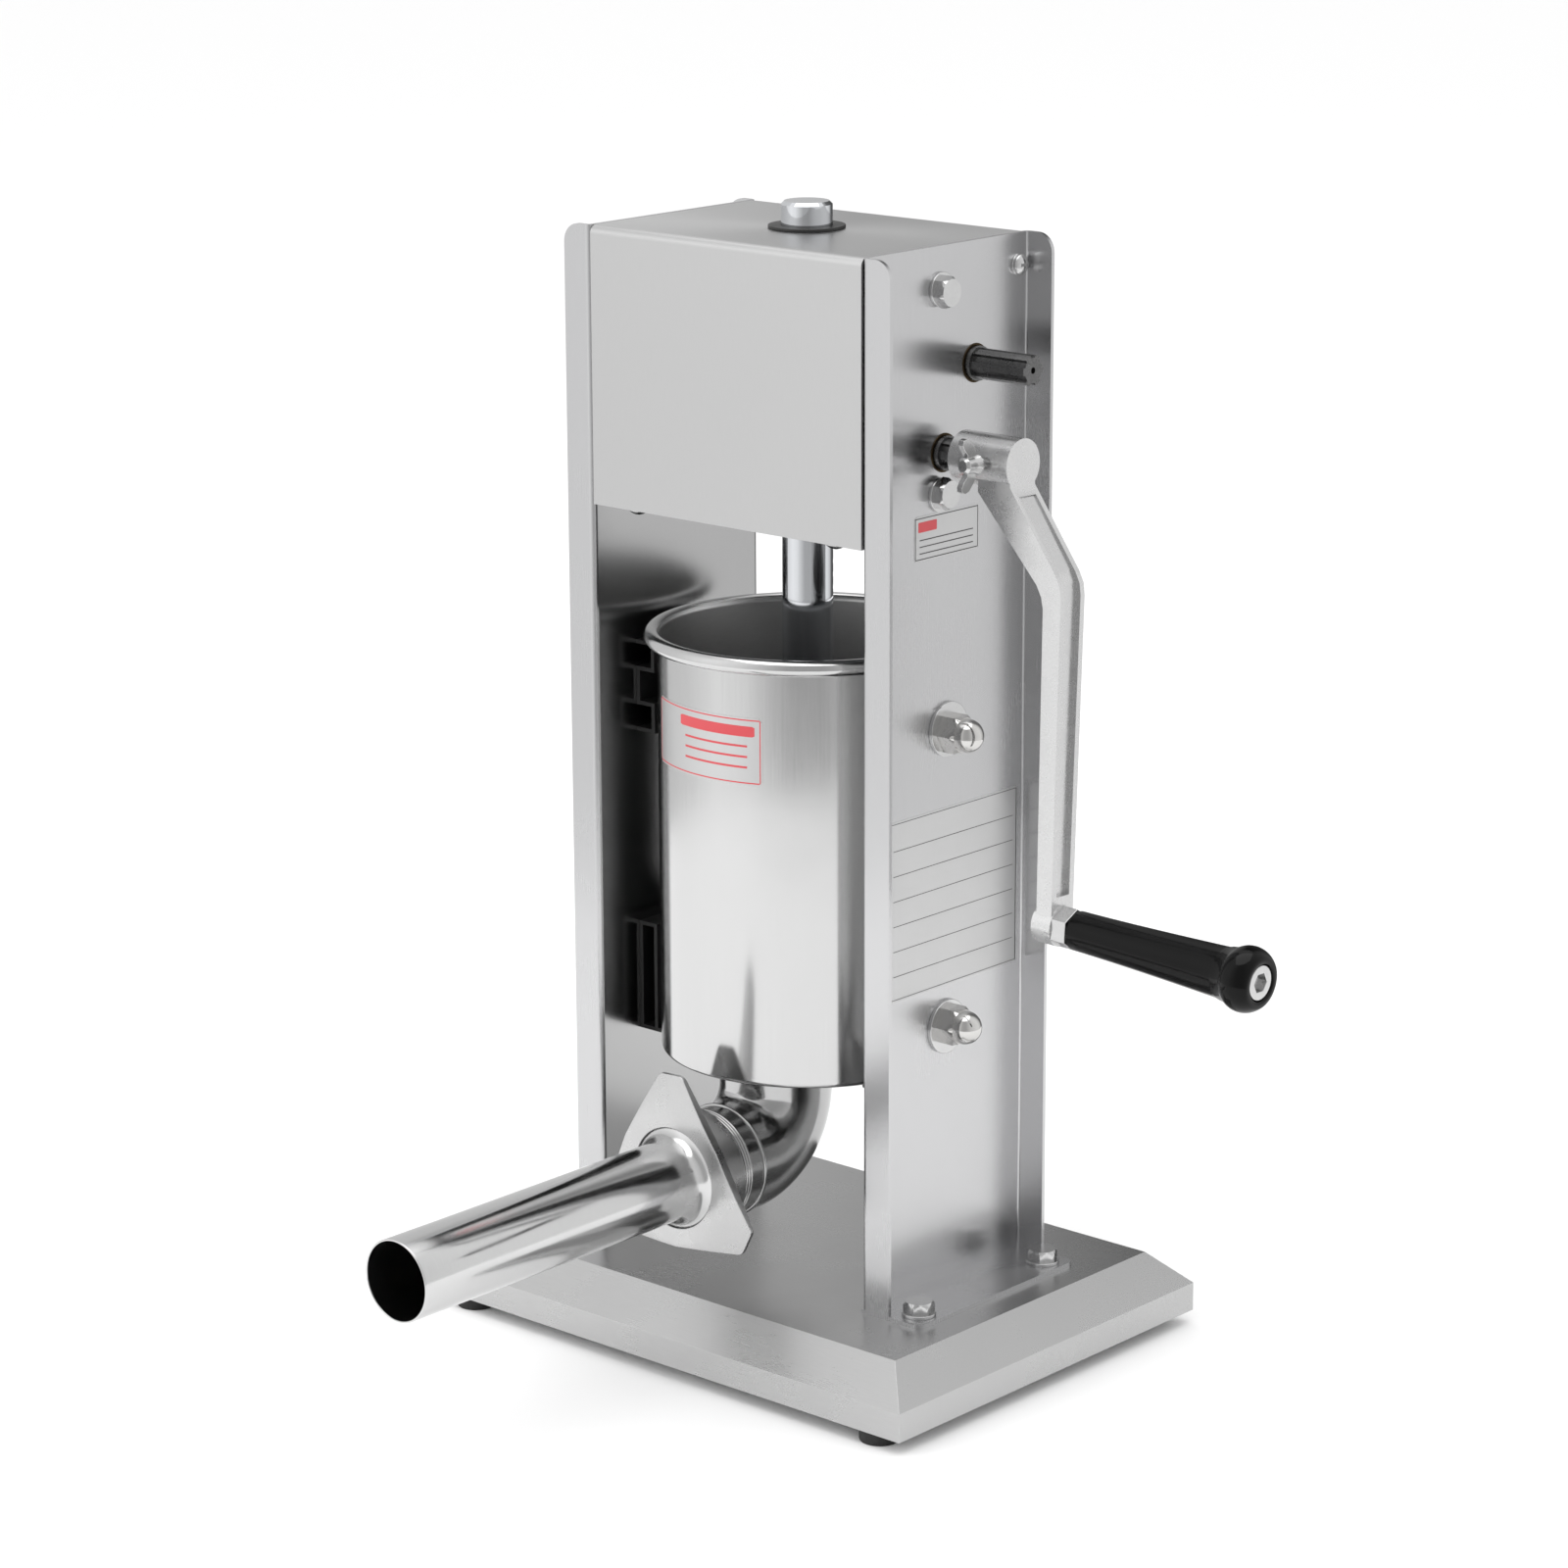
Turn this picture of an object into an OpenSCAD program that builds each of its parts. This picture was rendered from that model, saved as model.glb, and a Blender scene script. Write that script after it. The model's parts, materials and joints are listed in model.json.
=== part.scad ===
// Upright two-speed sausage stuffer: a geared rack pushes a piston down a stainless barrel.
// Millimetres. +Z is up, +X is the crank side, -Y is the nozzle side.
// The origin is on the table, midway between the four feet and under the rack rod's axis.

/* [Base] */
// Width of the base pan over its skirt
base_w = 301; // [290:1:365]
// Depth of the base pan over its skirt
base_d = 221; // [190:1:270]
// How far the sloped border of the base reaches in from the skirt
bevel_w = 17; // [10:1:24]
// Height of the sloped border
bevel_h = 16.5; // [10:0.5:24]
// Height of the upright skirt
skirt_h = 14; // [10:0.5:24]
// Width of the flange folded in under the skirt
lip_w = 31; // [28:1:36]
// Sheet thickness of the base pan
base_t = 1.5; // [1:0.1:2.5]
// Height of the rubber feet
foot_h = 6.5; // [5:0.5:14]
// Radius of a rubber foot where it stands on the table
foot_r = 9.5; // [7:0.5:12]
// Foot centre in from the side of the skirt
foot_in_x = 20.5; // [14:0.5:24]
// Foot centre in from the front of the skirt
foot_in_y = 10.5; // [10:0.5:18]

/* [Columns] */
// Clear distance between the two column webs
col_gap = 166; // [162:1:180]
// Depth of a column, front to back
col_d = 116; // [112:1:140]
// Sheet thickness of a column
col_t = 2; // [1.5:0.1:3]
// Width of a column's front and rear flanges
flange_w = 16.5; // [10:0.5:24]
// Outer radius of the column's folds
fold_r = 3; // [3:0.5:4]
// Width of the flange that a column stands on
col_foot_w = 35.5; // [30:0.5:40]
// Height of a column above the base
col_h = 494.5; // [490:0.5:560]

/* [Gearbox] */
// Height of the gearbox cover
box_h = 131.5; // [131:0.5:160]
// Sheet thickness of the gearbox cover
box_t = 1.5; // [1:0.1:2]
// Outer radius of the cover's top folds
box_fold_r = 4; // [3:0.5:8]
// Width of the cover's bottom lips
box_lip_w = 14; // [12:0.5:16]
// Thickness of the gear frame's plates
plate_t = 4; // [3:0.5:5]

/* [Barrel] */
// Bore of the barrel
barrel_bore = 140; // [120:1:142]
// Barrel height from its underside to the middle of the rolled rim
barrel_h = 202.5; // [160:0.5:206]
// Wall thickness of the barrel
barrel_t = 1; // [0.8:0.1:1.5]
// Radius of the rolled rim's section
rim_r = 3.8; // [3:0.1:4.5]
// Height of the barrel's underside above the base
barrel_lift = 100.5; // [98:0.5:120]

/* [Outlet] */
// Outer radius of the outlet elbow
elbow_r = 27; // [22:0.5:28]
// Wall thickness of the elbow
elbow_t = 1.5; // [1:0.1:2]
// Radius of the elbow's bend at the middle of the tube
elbow_bend = 30; // [29:0.5:34]
// How far the outlet is set forward of the barrel's axis
outlet_fwd = 24; // [18:0.5:30]
// Length of the outlet from the elbow's upright axis to the collar's front face
outlet_len = 64; // [60:0.5:80]
// Height of the outlet's axis above the base
outlet_z_base = 57.6; // [56:0.1:66]
// Pitch of the thread on the collar
thread_pitch = 3; // [2:0.5:4]
// Radius of the ring nut at the tips of its lobes
nut_tip_r = 50; // [42:0.5:54]
// Thickness of the ring nut's lobed plate
nut_plate_t = 5; // [4:0.5:7]

/* [Nozzle] */
// Outer diameter of the stuffing nozzle
nozzle_d = 38.6; // [20:0.2:38.6]
// Wall thickness of the nozzle
nozzle_t = 1; // [0.8:0.1:1.5]
// Length of the nozzle in front of the ring nut
nozzle_len = 179; // [120:1:220]

/* [Drive] */
// Diameter of the rack rod
rod_d = 24; // [22:0.5:26]
// Length of the rack rod from its shoulder on the piston to its top
rod_len = 384; // [383:1:460]
// Module of the rack and its pinion
rack_mod = 2; // [1.8:0.1:2]
// Teeth of the rack pinion
pinion_teeth = 10; // [10:1:10]
// Module of the gear pair
gear_mod = 1.5; // [1.4:0.05:1.5]
// Teeth of the large gear
large_teeth = 44; // [42:1:45]
// Teeth of the small gear
small_teeth = 15; // [14:1:16]
// Face width of the gears
gear_face = 10; // [8:0.5:12]
// Height of the fast shaft below the cover's top
fast_drop = 56.1; // [54:0.1:60]
// Radius of the two drive shafts in their bushes
shaft_r = 8; // [7:0.1:8]
// Outer radius of the splines
spline_r = 7.1; // [6:0.1:7.1]

/* [Crank] */
// Distance from the crank shaft to the grip's axis
crank_r = 207.5; // [160:0.5:215]
// How far the arm is cranked outward past the hub
crank_offset = 30.5; // [20:0.5:36]
// Radius of the crank hub
hub_r = 12; // [11.5:0.5:13]
// Length of the crank hub
hub_l = 34; // [30:1:40]
// Length of the grip
grip_l = 103; // [90:1:130]
// Radius of the grip at its narrow inner end
grip_r = 9.2; // [9:0.1:12]
// Radius of the grip before its end bead
grip_end_r = 11.8; // [11.5:0.1:13]
// Radius of the bead at the grip's outer end
grip_bead_r = 15.2; // [13:0.1:17]

/* [Fits] */
// Radial clearance of a shaft in its bush
run_fit = 0.05; // [0.02:0.01:0.08]
// Gap between parts that move past each other
gap = 0.3; // [0.2:0.05:0.5]
// Radial clearance of a screw in its hole
screw_fit = 0.25; // [0.15:0.05:0.4]

/* [Hidden] */
$fn = 72;
eps = 0.02;
fit = 0.02;

// Heights of the base
skirt_z = foot_h;
bevel_z = skirt_z + skirt_h;
base_z = bevel_z + bevel_h;
plate_w = base_w - 2 * bevel_w;
plate_d = base_d - 2 * bevel_w;
foot_x = base_w / 2 - foot_in_x;
foot_y = base_d / 2 - foot_in_y;
foot_nut_h = 4;
foot_stud_in = 2.2;

// Columns
web_x = col_gap / 2;
web_out = web_x + col_t;
flange_out = web_x + flange_w;
head_z = base_z + col_h;
flange_corner_r = 9;
foot_bolt_x = web_x + 25;
foot_bolt_y = 46;

// Gearbox
box_z = head_z - box_h;
box_hw = web_x - gap;
frame_z = box_z + box_t;
frame_floor = frame_z + plate_t;
side_in = box_hw - plate_t;
side_top = head_z - 7.5;
frame_hd = col_d / 2 - box_t - 1.5;
side_y0 = -46;
side_y1 = 42;
lip_screw_x = 61;
lip_screw_y = col_d / 2 - 8;
guide_flange_r = 18;
guide_r = 15;
guide_flange_t = 1.5;
low_guide_top = frame_floor + 14;
top_guide_low = head_z - 13;
bearing_x = 17;
bearing_y0 = -37;
pillar_r = 5;
pillar_spots = [[-29, frame_floor + 7], [-29, side_top - 8], [34, frame_floor + 7], [34, side_top - 7]];

// Shafts: the fast one drives the rack, the slow one drives the large gear
pinion_pr = rack_mod * pinion_teeth / 2;
rack_pitch_y = 9;
fast_y = rack_pitch_y + pinion_pr;
fast_z = head_z - fast_drop;
slow_y = -3;
centre_dist = gear_mod * (large_teeth + small_teeth) / 2;
slow_z = fast_z - sqrt(pow(centre_dist, 2) - pow(fast_y - slow_y, 2));
mesh_angle = atan2(slow_z - fast_z, slow_y - fast_y);
bush_wall = 1;
bush_flange_r = 11;
bush_flange_t = 2;
gear_x = bearing_x + plate_t + bush_flange_t + 3;
pinion_half = 11;
fast_tip = web_out + 33.7;
slow_tip = web_out + 41;
spline_from = web_out + 3;
journal_r = 6;
ring_groove_r = shaft_r - 0.6;
ring_t = 1;
key_s = 5;

// Rack rod and piston, shown with the piston low in the barrel
rod_r = rod_d / 2;
rack_add = 0.85 * rack_mod;
rack_ded = 1.2 * rack_mod;
rack_flat_y = rack_pitch_y + rack_add;
rack_pitch = PI * rack_mod;
rack_tooth = 0.46 * rack_pitch;
pressure = 20;
barrel_z = base_z + barrel_lift;
floor_z = barrel_z + 1.2;
piston_z = floor_z + 3.3;
piston_h = 18;
piston_top = piston_z + piston_h;
piston_r = barrel_bore / 2 - 1;
seal_r = barrel_bore / 2 - gap;
seal_bead = 2.2;
rod_top = piston_top + rod_len;
rod_stud_r = 8;
rack_low = fast_z - 245;
rack_high = fast_z + 28;
travel = 205;
valve_y = -42;
valve_stem_r = 3;
valve_head_r = 7;
spring_turns = 5;
spring_wire = 0.9;
spring_r = 4.6;
spring_h = 10;
piston_deck = piston_top - 5;

// Barrel cradle
cradle_pad_x = barrel_bore / 2 + barrel_t + 0.6;
cradle_t = 2;
cradle_hw = 30;
upper_stud_z = barrel_z + 170;
lower_stud_z = barrel_z + 26.5;
stud_r = 5;
stud_washer_r = 13;
stud_washer_t = 2;

// Outlet, ring nut and nozzle
outlet_z = base_z + outlet_z_base;
elbow_in = elbow_r - elbow_t;
seam_y = -outlet_fwd - elbow_bend - 6.7;
collar_end = -outlet_fwd - outlet_len;
collar_r = elbow_r - 0.7;
thread_r = elbow_r + 0.3;
gasket_t = 2;
nozzle_flange_t = 3;
flange_face = collar_end - gasket_t - nozzle_flange_t;
nut_face = flange_face - nut_plate_t;
nut_skirt = 13;
nut_bore_r = thread_r + 0.4;
nut_hole_r = nut_bore_r - 3.2;
nut_skirt_r = nut_bore_r + 3.3;
nut_lobe_r = 4.5;
nut_lobe_hw = 4.7;
nut_flat_r = 33.6;
nozzle_r = nozzle_d / 2;
nozzle_boss_r = nut_hole_r - gap;
nozzle_tip = nut_face - nozzle_len;
flare_r = nozzle_boss_r - nozzle_r;
flare_l = 10;

// Crank: it hangs a little forward of straight down
crank_tilt = -2;
grip_droop = 2.4;
hub_x = web_out + 12;
hub_end = hub_x + hub_l;
arm_t = 10;
arm_out = hub_end + crank_offset;
arm_in = arm_out - arm_t;
arm_knee = 53;
boss_r = 9.6;
wing_x = hub_x + 18.5;
grip_bolt_r = 5;
grip_nut_t = 8;
nut_x = arm_out + 0.4;
grip_x = nut_x + grip_nut_t + 0.4;
grip_out = grip_x + grip_l;
grip_recess = 11;
cap_head_r = 8;
cap_head_t = 10;

// Fasteners
m8_r = 4;
m8_flats = 13;
m8_head = 5.3;
m8_nut = 6.5;
m8_washer_r = 8;
m8_washer_t = 1.6;
m5_r = 2.5;
m5_head_r = 4.75;
m5_head = 3.4;
frame_bolt_y = -6;
frame_bolt_zs = [fast_z + 36.5, slow_z - 19];
web_screw_y = col_d / 2 - 8.4;
web_screw_z = head_z - 14.5;

// Points along an arc, for use inside a polygon
function arc(c, r, a0, a1, n = 8) = [
    for (i = [0:n])
        let (a = a0 + (a1 - a0) * i / n)
        c + r * [cos(a), sin(a)]
];

// Stands a shape drawn in a plane on the X axis: drawn x becomes Y and drawn y becomes Z
module on_x(x, y, z) {
    translate([x, y, z]) rotate([90, 0, 90]) children();
}

// A straight rod along X
module rod_x(x0, x1, y, z, r) {
    on_x(x0, y, z) cylinder(r = r, h = x1 - x0);
}

// The same shape on the left and the right
module both_sides() {
    children();
    mirror([1, 0, 0]) children();
}

// The same shape at the four corners of a rectangle
module four_corners(x, y) {
    for (sx = [-1, 1], sy = [-1, 1]) translate([sx * x, sy * y, 0]) children();
}

module hex_prism(flats, h) {
    cylinder(r = flats / sqrt(3), h = h, $fn = 6);
}

module washer(r, hole, t) {
    difference() {
        cylinder(r = r, h = t);
        translate([0, 0, -1]) cylinder(r = hole, h = t + 2);
    }
}

// Hex bolt whose head's underside is at z = 0 and whose shank points down
module hex_bolt(r, flats, head, length) {
    hex_prism(flats, head);
    translate([0, 0, -length]) cylinder(r = r, h = length + eps);
}

module hex_nut(flats, t, hole) {
    difference() {
        hex_prism(flats, t);
        translate([0, 0, -1]) cylinder(r = hole, h = t + 2);
    }
}

// Pan-head cross-recess screw, head's underside at z = 0, shank pointing down
module pan_screw(length) {
    difference() {
        intersection() {
            cylinder(r = m5_head_r, h = m5_head);
            translate([0, 0, m5_head - 6.2]) sphere(r = 6.2);
        }
        translate([-0.6, -2.4, m5_head - 1.6]) cube([1.2, 4.8, 3]);
        translate([-2.4, -0.6, m5_head - 1.6]) cube([4.8, 1.2, 3]);
    }
    translate([0, 0, -length]) cylinder(r = m5_r, h = length + eps);
}

// Spur gear outline: involute flanks above the base circle, straight relieved flanks below it
function involute_r(rb, t) = rb * sqrt(1 + pow(t, 2));
function involute_a(t) = t * 180 / PI - atan(t);
function flank_t(rb, r) = sqrt(max(0, pow(r / rb, 2) - 1));
function tooth_side(rb, rp, half, tip, steps) = [
    for (i = [0:steps])
        let (r = rb + (tip - rb) * i / steps)
        [r, half + involute_a(flank_t(rb, rp)) - involute_a(flank_t(rb, r))]
];
function gear_points(teeth, mod, add, ded, thick, steps = 3) =
    let (rp = teeth * mod / 2, rb = rp * cos(pressure), tip = rp + add, root = rp - ded)
    let (half = 90 / teeth * thick, side = tooth_side(rb, rp, half, tip, steps), foot = side[0][1])
    [for (k = [0:teeth - 1])
        let (m = 360 / teeth * k)
        for (p = concat(
            root < rb ? [[root, -foot * 0.92]] : [],
            [for (s = side) [s[0], -s[1]]],
            [for (i = [len(side) - 1:-1:0]) side[i]],
            root < rb ? [[root, foot * 0.92]] : []))
        [p[0] * cos(m + p[1]), p[0] * sin(m + p[1])]
    ];

// ---- Base ----

// Solid base form, shrunk inward by t on its sloped and upright faces
module base_form(t, z0, z1) {
    w = base_w / 2 - t;
    d = base_d / 2 - t;
    pw = plate_w / 2 - t * 0.42;
    pd = plate_d / 2 - t * 0.42;
    bz = bevel_z - t * 0.42;
    intersection() {
        translate([0, base_d / 2 + 1, 0]) rotate([90, 0, 0]) linear_extrude(base_d + 2)
            polygon([[-w, z0], [w, z0], [w, bz], [pw, z1], [-pw, z1], [-w, bz]]);
        rotate([90, 0, 90]) translate([0, 0, -base_w / 2 - 1]) linear_extrude(base_w + 2)
            polygon([[-d, z0], [d, z0], [d, bz], [pd, z1], [-pd, z1], [-d, bz]]);
    }
}

module base_pan() {
    color("silver") difference() {
        base_form(0, skirt_z, base_z);
        base_form(base_t, skirt_z + base_t, base_z - base_t);
        translate([lip_w - base_w / 2, lip_w - base_d / 2, skirt_z - 1])
            cube([base_w - 2 * lip_w, base_d - 2 * lip_w, base_t + 2]);
        four_corners(foot_x, foot_y) translate([0, 0, skirt_z - 1])
            cylinder(r = m5_r + screw_fit, h = base_t + 2);
        four_corners(foot_bolt_x, foot_bolt_y) translate([0, 0, base_z - base_t - 1])
            cylinder(r = m8_r + screw_fit, h = base_t + 2);
    }
}

module rubber_feet() {
    color("#1a1a1a") four_corners(foot_x, foot_y) difference() {
        cylinder(r = foot_r, h = foot_h);
        translate([0, 0, foot_h - foot_stud_in]) cylinder(r = m5_r + fit, h = foot_stud_in + 1);
    }
}

// Threaded studs bonded into the feet
module foot_studs() {
    color("gray") four_corners(foot_x, foot_y) translate([0, 0, foot_h - foot_stud_in])
        cylinder(r = m5_r, h = foot_stud_in + base_t + foot_nut_h + 1.5);
}

module foot_nuts() {
    color("gray") four_corners(foot_x, foot_y) translate([0, 0, skirt_z + base_t])
        hex_nut(8, foot_nut_h, m5_r + fit);
}

// ---- Columns ----

// Section of the right column: a web with flanges folded outward at the front and the rear
module column_section() {
    in_r = fold_r - col_t;
    half = col_d / 2;
    translate([web_x, -half + fold_r]) square([col_t, col_d - 2 * fold_r]);
    for (s = [-1, 1]) scale([1, s]) {
        translate([web_x + fold_r, half - col_t]) square([flange_w - fold_r, col_t]);
        intersection() {
            difference() {
                translate([web_x + fold_r, half - fold_r]) circle(r = fold_r);
                translate([web_x + fold_r, half - fold_r]) circle(r = in_r);
            }
            translate([web_x - 1, half - fold_r]) square([fold_r + 1, fold_r + 1]);
        }
    }
}

// What a rounded outer corner removes, drawn at the origin with the corner at [r, r]
module corner_cut(r) {
    difference() {
        square([r + 1, r + 1]);
        circle(r = r);
    }
}

module column_body() {
    half = col_d / 2;
    difference() {
        union() {
            translate([0, 0, base_z]) linear_extrude(col_h) column_section();
            translate([web_x, -half, base_z]) cube([col_foot_w, col_d, col_t]);
        }
        // Rounded top corners of the flanges
        translate([flange_out - flange_corner_r, half + 1, head_z - flange_corner_r]) rotate([90, 0, 0])
            linear_extrude(col_d + 2) corner_cut(flange_corner_r);
        // Rounded corners of the foot flange
        for (s = [-1, 1]) scale([1, s, 1])
            translate([web_x + col_foot_w - 5, half - 5, base_z - 1]) linear_extrude(col_t + 2) corner_cut(5);
        for (s = [-1, 1]) translate([foot_bolt_x, s * foot_bolt_y, base_z - 1])
            cylinder(r = m8_r + screw_fit, h = col_t + 2);
        for (z = frame_bolt_zs) rod_x(web_x - 1, web_out + 1, frame_bolt_y, z, m8_r + screw_fit);
        for (z = [upper_stud_z, lower_stud_z]) rod_x(web_x - 1, web_out + 1, 0, z, stud_r + screw_fit);
        rod_x(web_x - 1, web_out + 1, web_screw_y, web_screw_z, m5_r + screw_fit);
        rod_x(web_x - 1, web_out + 1, fast_y, fast_z, shaft_r + run_fit + bush_wall + fit);
    }
}

module right_column() {
    color("lightgray") difference() {
        column_body();
        rod_x(web_x - 1, web_out + 1, slow_y, slow_z, shaft_r + run_fit + bush_wall + fit);
    }
}

module left_column() {
    color("lightgray") mirror([1, 0, 0]) column_body();
}

module column_bolts() {
    top = base_z + col_t + m8_washer_t;
    color("silver") four_corners(foot_bolt_x, foot_bolt_y) translate([0, 0, top])
        hex_bolt(m8_r, m8_flats, m8_head, top - base_z + base_t + m8_nut + 2);
}

module column_washers() {
    color("silver") four_corners(foot_bolt_x, foot_bolt_y) translate([0, 0, base_z + col_t])
        washer(m8_washer_r, m8_r + screw_fit, m8_washer_t);
}

module column_nuts() {
    color("silver") four_corners(foot_bolt_x, foot_bolt_y) translate([0, 0, base_z - base_t - m8_nut])
        hex_nut(m8_flats, m8_nut, m8_r + fit);
}

// ---- Gearbox ----

// Rounded top corner of the cover's section, as a ring quarter on the +Y side
module cover_fold(r) {
    translate([col_d / 2 - r, head_z - r]) intersection() {
        difference() {
            circle(r = r);
            circle(r = r - box_t);
        }
        square(r + 1);
    }
}

module cover_section() {
    half = col_d / 2;
    translate([-half + box_fold_r, head_z - box_t]) square([col_d - 2 * box_fold_r, box_t]);
    for (s = [-1, 1]) scale([s, 1]) {
        translate([half - box_t, box_z]) square([box_t, box_h - box_fold_r]);
        translate([half - box_lip_w, box_z]) square([box_lip_w, box_t]);
        cover_fold(box_fold_r);
    }
}

module gearbox_cover() {
    color("gainsboro") difference() {
        union() {
            on_x(-box_hw, 0, 0) linear_extrude(2 * box_hw) cover_section();
            // Ears folded from the rear panel, which the web screws hold
            both_sides() translate([box_hw - box_t, col_d / 2 - 13, web_screw_z - 10])
                cube([box_t, 13 - eps, 20]);
        }
        translate([0, 0, head_z - box_t - 1]) cylinder(r = guide_r + fit, h = box_t + 2);
        four_corners(lip_screw_x, lip_screw_y) translate([0, 0, box_z - 1])
            cylinder(r = m5_r + screw_fit, h = box_t + 2);
        both_sides() rod_x(box_hw - box_t - 1, box_hw + 1, web_screw_y, web_screw_z, m5_r + screw_fit);
    }
}

module cover_screws() {
    color("silver") four_corners(lip_screw_x, lip_screw_y) translate([0, 0, box_z]) mirror([0, 0, 1])
        pan_screw(box_t + plate_t + 1);
}

module web_screws() {
    color("silver") both_sides() on_x(web_out + 1, web_screw_y, web_screw_z) pan_screw(13);
}

module web_screw_washers() {
    color("silver") both_sides() on_x(web_out, web_screw_y, web_screw_z) washer(5.2, m5_r + screw_fit, 1);
}

module web_screw_nuts() {
    color("silver") both_sides() on_x(box_hw - box_t - foot_nut_h, web_screw_y, web_screw_z)
        hex_nut(8, foot_nut_h, m5_r + fit);
}

// Holes that both the right side plate and the bearing plate share
module pillar_holes(x0, x1) {
    for (p = pillar_spots) rod_x(x0, x1, p[0], p[1], m5_r + screw_fit);
}

module gear_frame() {
    color("dimgray") difference() {
        union() {
            translate([-box_hw, -frame_hd, frame_z]) cube([2 * box_hw, 2 * frame_hd, plate_t]);
            both_sides() translate([side_in, side_y0, frame_z])
                cube([plate_t, side_y1 - side_y0, side_top - frame_z]);
        }
        translate([0, 0, frame_z - 1]) cylinder(r = guide_r + fit, h = plate_t + 2);
        four_corners(lip_screw_x, lip_screw_y) translate([0, 0, frame_z - 1])
            cylinder(r = m5_r + fit, h = plate_t + 2);
        both_sides() for (z = frame_bolt_zs)
            rod_x(side_in - 1, box_hw + 1, frame_bolt_y, z, m8_r + screw_fit);
        both_sides() rod_x(side_in - 1, box_hw + 1, fast_y, fast_z, shaft_r + run_fit + bush_wall + fit);
        rod_x(side_in - 1, box_hw + 1, slow_y, slow_z, shaft_r + run_fit + bush_wall + fit);
        pillar_holes(side_in - 1, box_hw + 1);
    }
}

module bearing_plate() {
    color("dimgray") difference() {
        translate([bearing_x, bearing_y0, frame_floor])
            cube([plate_t, side_y1 - bearing_y0, side_top - frame_floor]);
        rod_x(bearing_x - 1, bearing_x + plate_t + 1, fast_y, fast_z, shaft_r + run_fit + bush_wall + fit);
        rod_x(bearing_x - 1, bearing_x + plate_t + 1, slow_y, slow_z, journal_r + run_fit + bush_wall + fit);
        pillar_holes(bearing_x - 1, bearing_x + plate_t + 1);
    }
}

module plate_pillars() {
    color("gray") for (p = pillar_spots) difference() {
        rod_x(bearing_x + plate_t, side_in, p[0], p[1], pillar_r);
        rod_x(bearing_x + plate_t - 1, side_in + 1, p[0], p[1], m5_r + fit);
    }
}

module pillar_screws() {
    color("silver") for (p = pillar_spots) on_x(bearing_x, p[0], p[1]) mirror([0, 0, 1])
        pan_screw(box_hw - bearing_x);
}

module frame_bolts() {
    color("silver") both_sides() for (z = frame_bolt_zs) on_x(web_out + m8_washer_t, frame_bolt_y, z)
        hex_bolt(m8_r, m8_flats, m8_head, web_out + m8_washer_t - side_in + m8_nut + 1.5);
}

module frame_washers() {
    color("silver") both_sides() for (z = frame_bolt_zs) on_x(web_out, frame_bolt_y, z)
        washer(m8_washer_r, m8_r + screw_fit, m8_washer_t);
}

module frame_nuts() {
    color("silver") both_sides() for (z = frame_bolt_zs) on_x(side_in - m8_nut, frame_bolt_y, z)
        hex_nut(m8_flats, m8_nut, m8_r + fit);
}

module top_rod_guide() {
    color("#222222") difference() {
        union() {
            translate([0, 0, head_z]) cylinder(r = guide_flange_r, h = guide_flange_t);
            translate([0, 0, top_guide_low]) cylinder(r = guide_r, h = head_z - top_guide_low + eps);
        }
        translate([0, 0, top_guide_low - 1]) cylinder(r = rod_r + run_fit, h = 30);
    }
}

module lower_rod_guide() {
    color("#222222") difference() {
        union() {
            translate([0, 0, frame_z - guide_flange_t]) cylinder(r = guide_flange_r, h = guide_flange_t);
            translate([0, 0, frame_z - eps]) cylinder(r = guide_r, h = low_guide_top - frame_z + eps);
        }
        translate([0, 0, frame_z - 5]) cylinder(r = rod_r + run_fit, h = 40);
    }
}

// ---- Drive ----

// Six-spline shaft end from x0 to x1, turned by a
module spline_end(x0, x1, y, z, a) {
    core = spline_r - 1.3;
    on_x(x0, y, z) rotate([0, 0, a]) difference() {
        linear_extrude(x1 - x0) union() {
            circle(r = core);
            intersection() {
                circle(r = spline_r);
                for (k = [0:2]) rotate(60 * k) square([2 * spline_r + 1, 3.6], center = true);
            }
        }
        // Centre drilling in the end face
        translate([0, 0, x1 - x0 - 3]) cylinder(r = 1.5, h = 4);
    }
}

module fast_shaft() {
    x0 = -web_out - 0.5;
    ring_x = gear_x + gear_face + 0.2;
    color("#555555") difference() {
        union() {
            rod_x(x0, spline_from, fast_y, fast_z, shaft_r);
            on_x(-pinion_half, fast_y, fast_z) rotate([0, 0, 180]) linear_extrude(2 * pinion_half)
                polygon(gear_points(pinion_teeth, rack_mod, 0.9 * rack_mod, 1.15 * rack_mod, 0.93));
            spline_end(spline_from - eps, fast_tip, fast_y, fast_z, 0);
        }
        // Keyway
        translate([gear_x - 1, fast_y - key_s / 2, fast_z + shaft_r - 2.5]) cube([gear_face + 2, key_s, 5]);
        // Retaining ring groove
        difference() {
            rod_x(ring_x, ring_x + ring_t + 0.1, fast_y, fast_z, shaft_r + 1);
            rod_x(ring_x - 1, ring_x + ring_t + 1.1, fast_y, fast_z, ring_groove_r);
        }
        on_x(x0 - 1, fast_y, fast_z) cylinder(r = 1.5, h = 4);
    }
}

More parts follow.
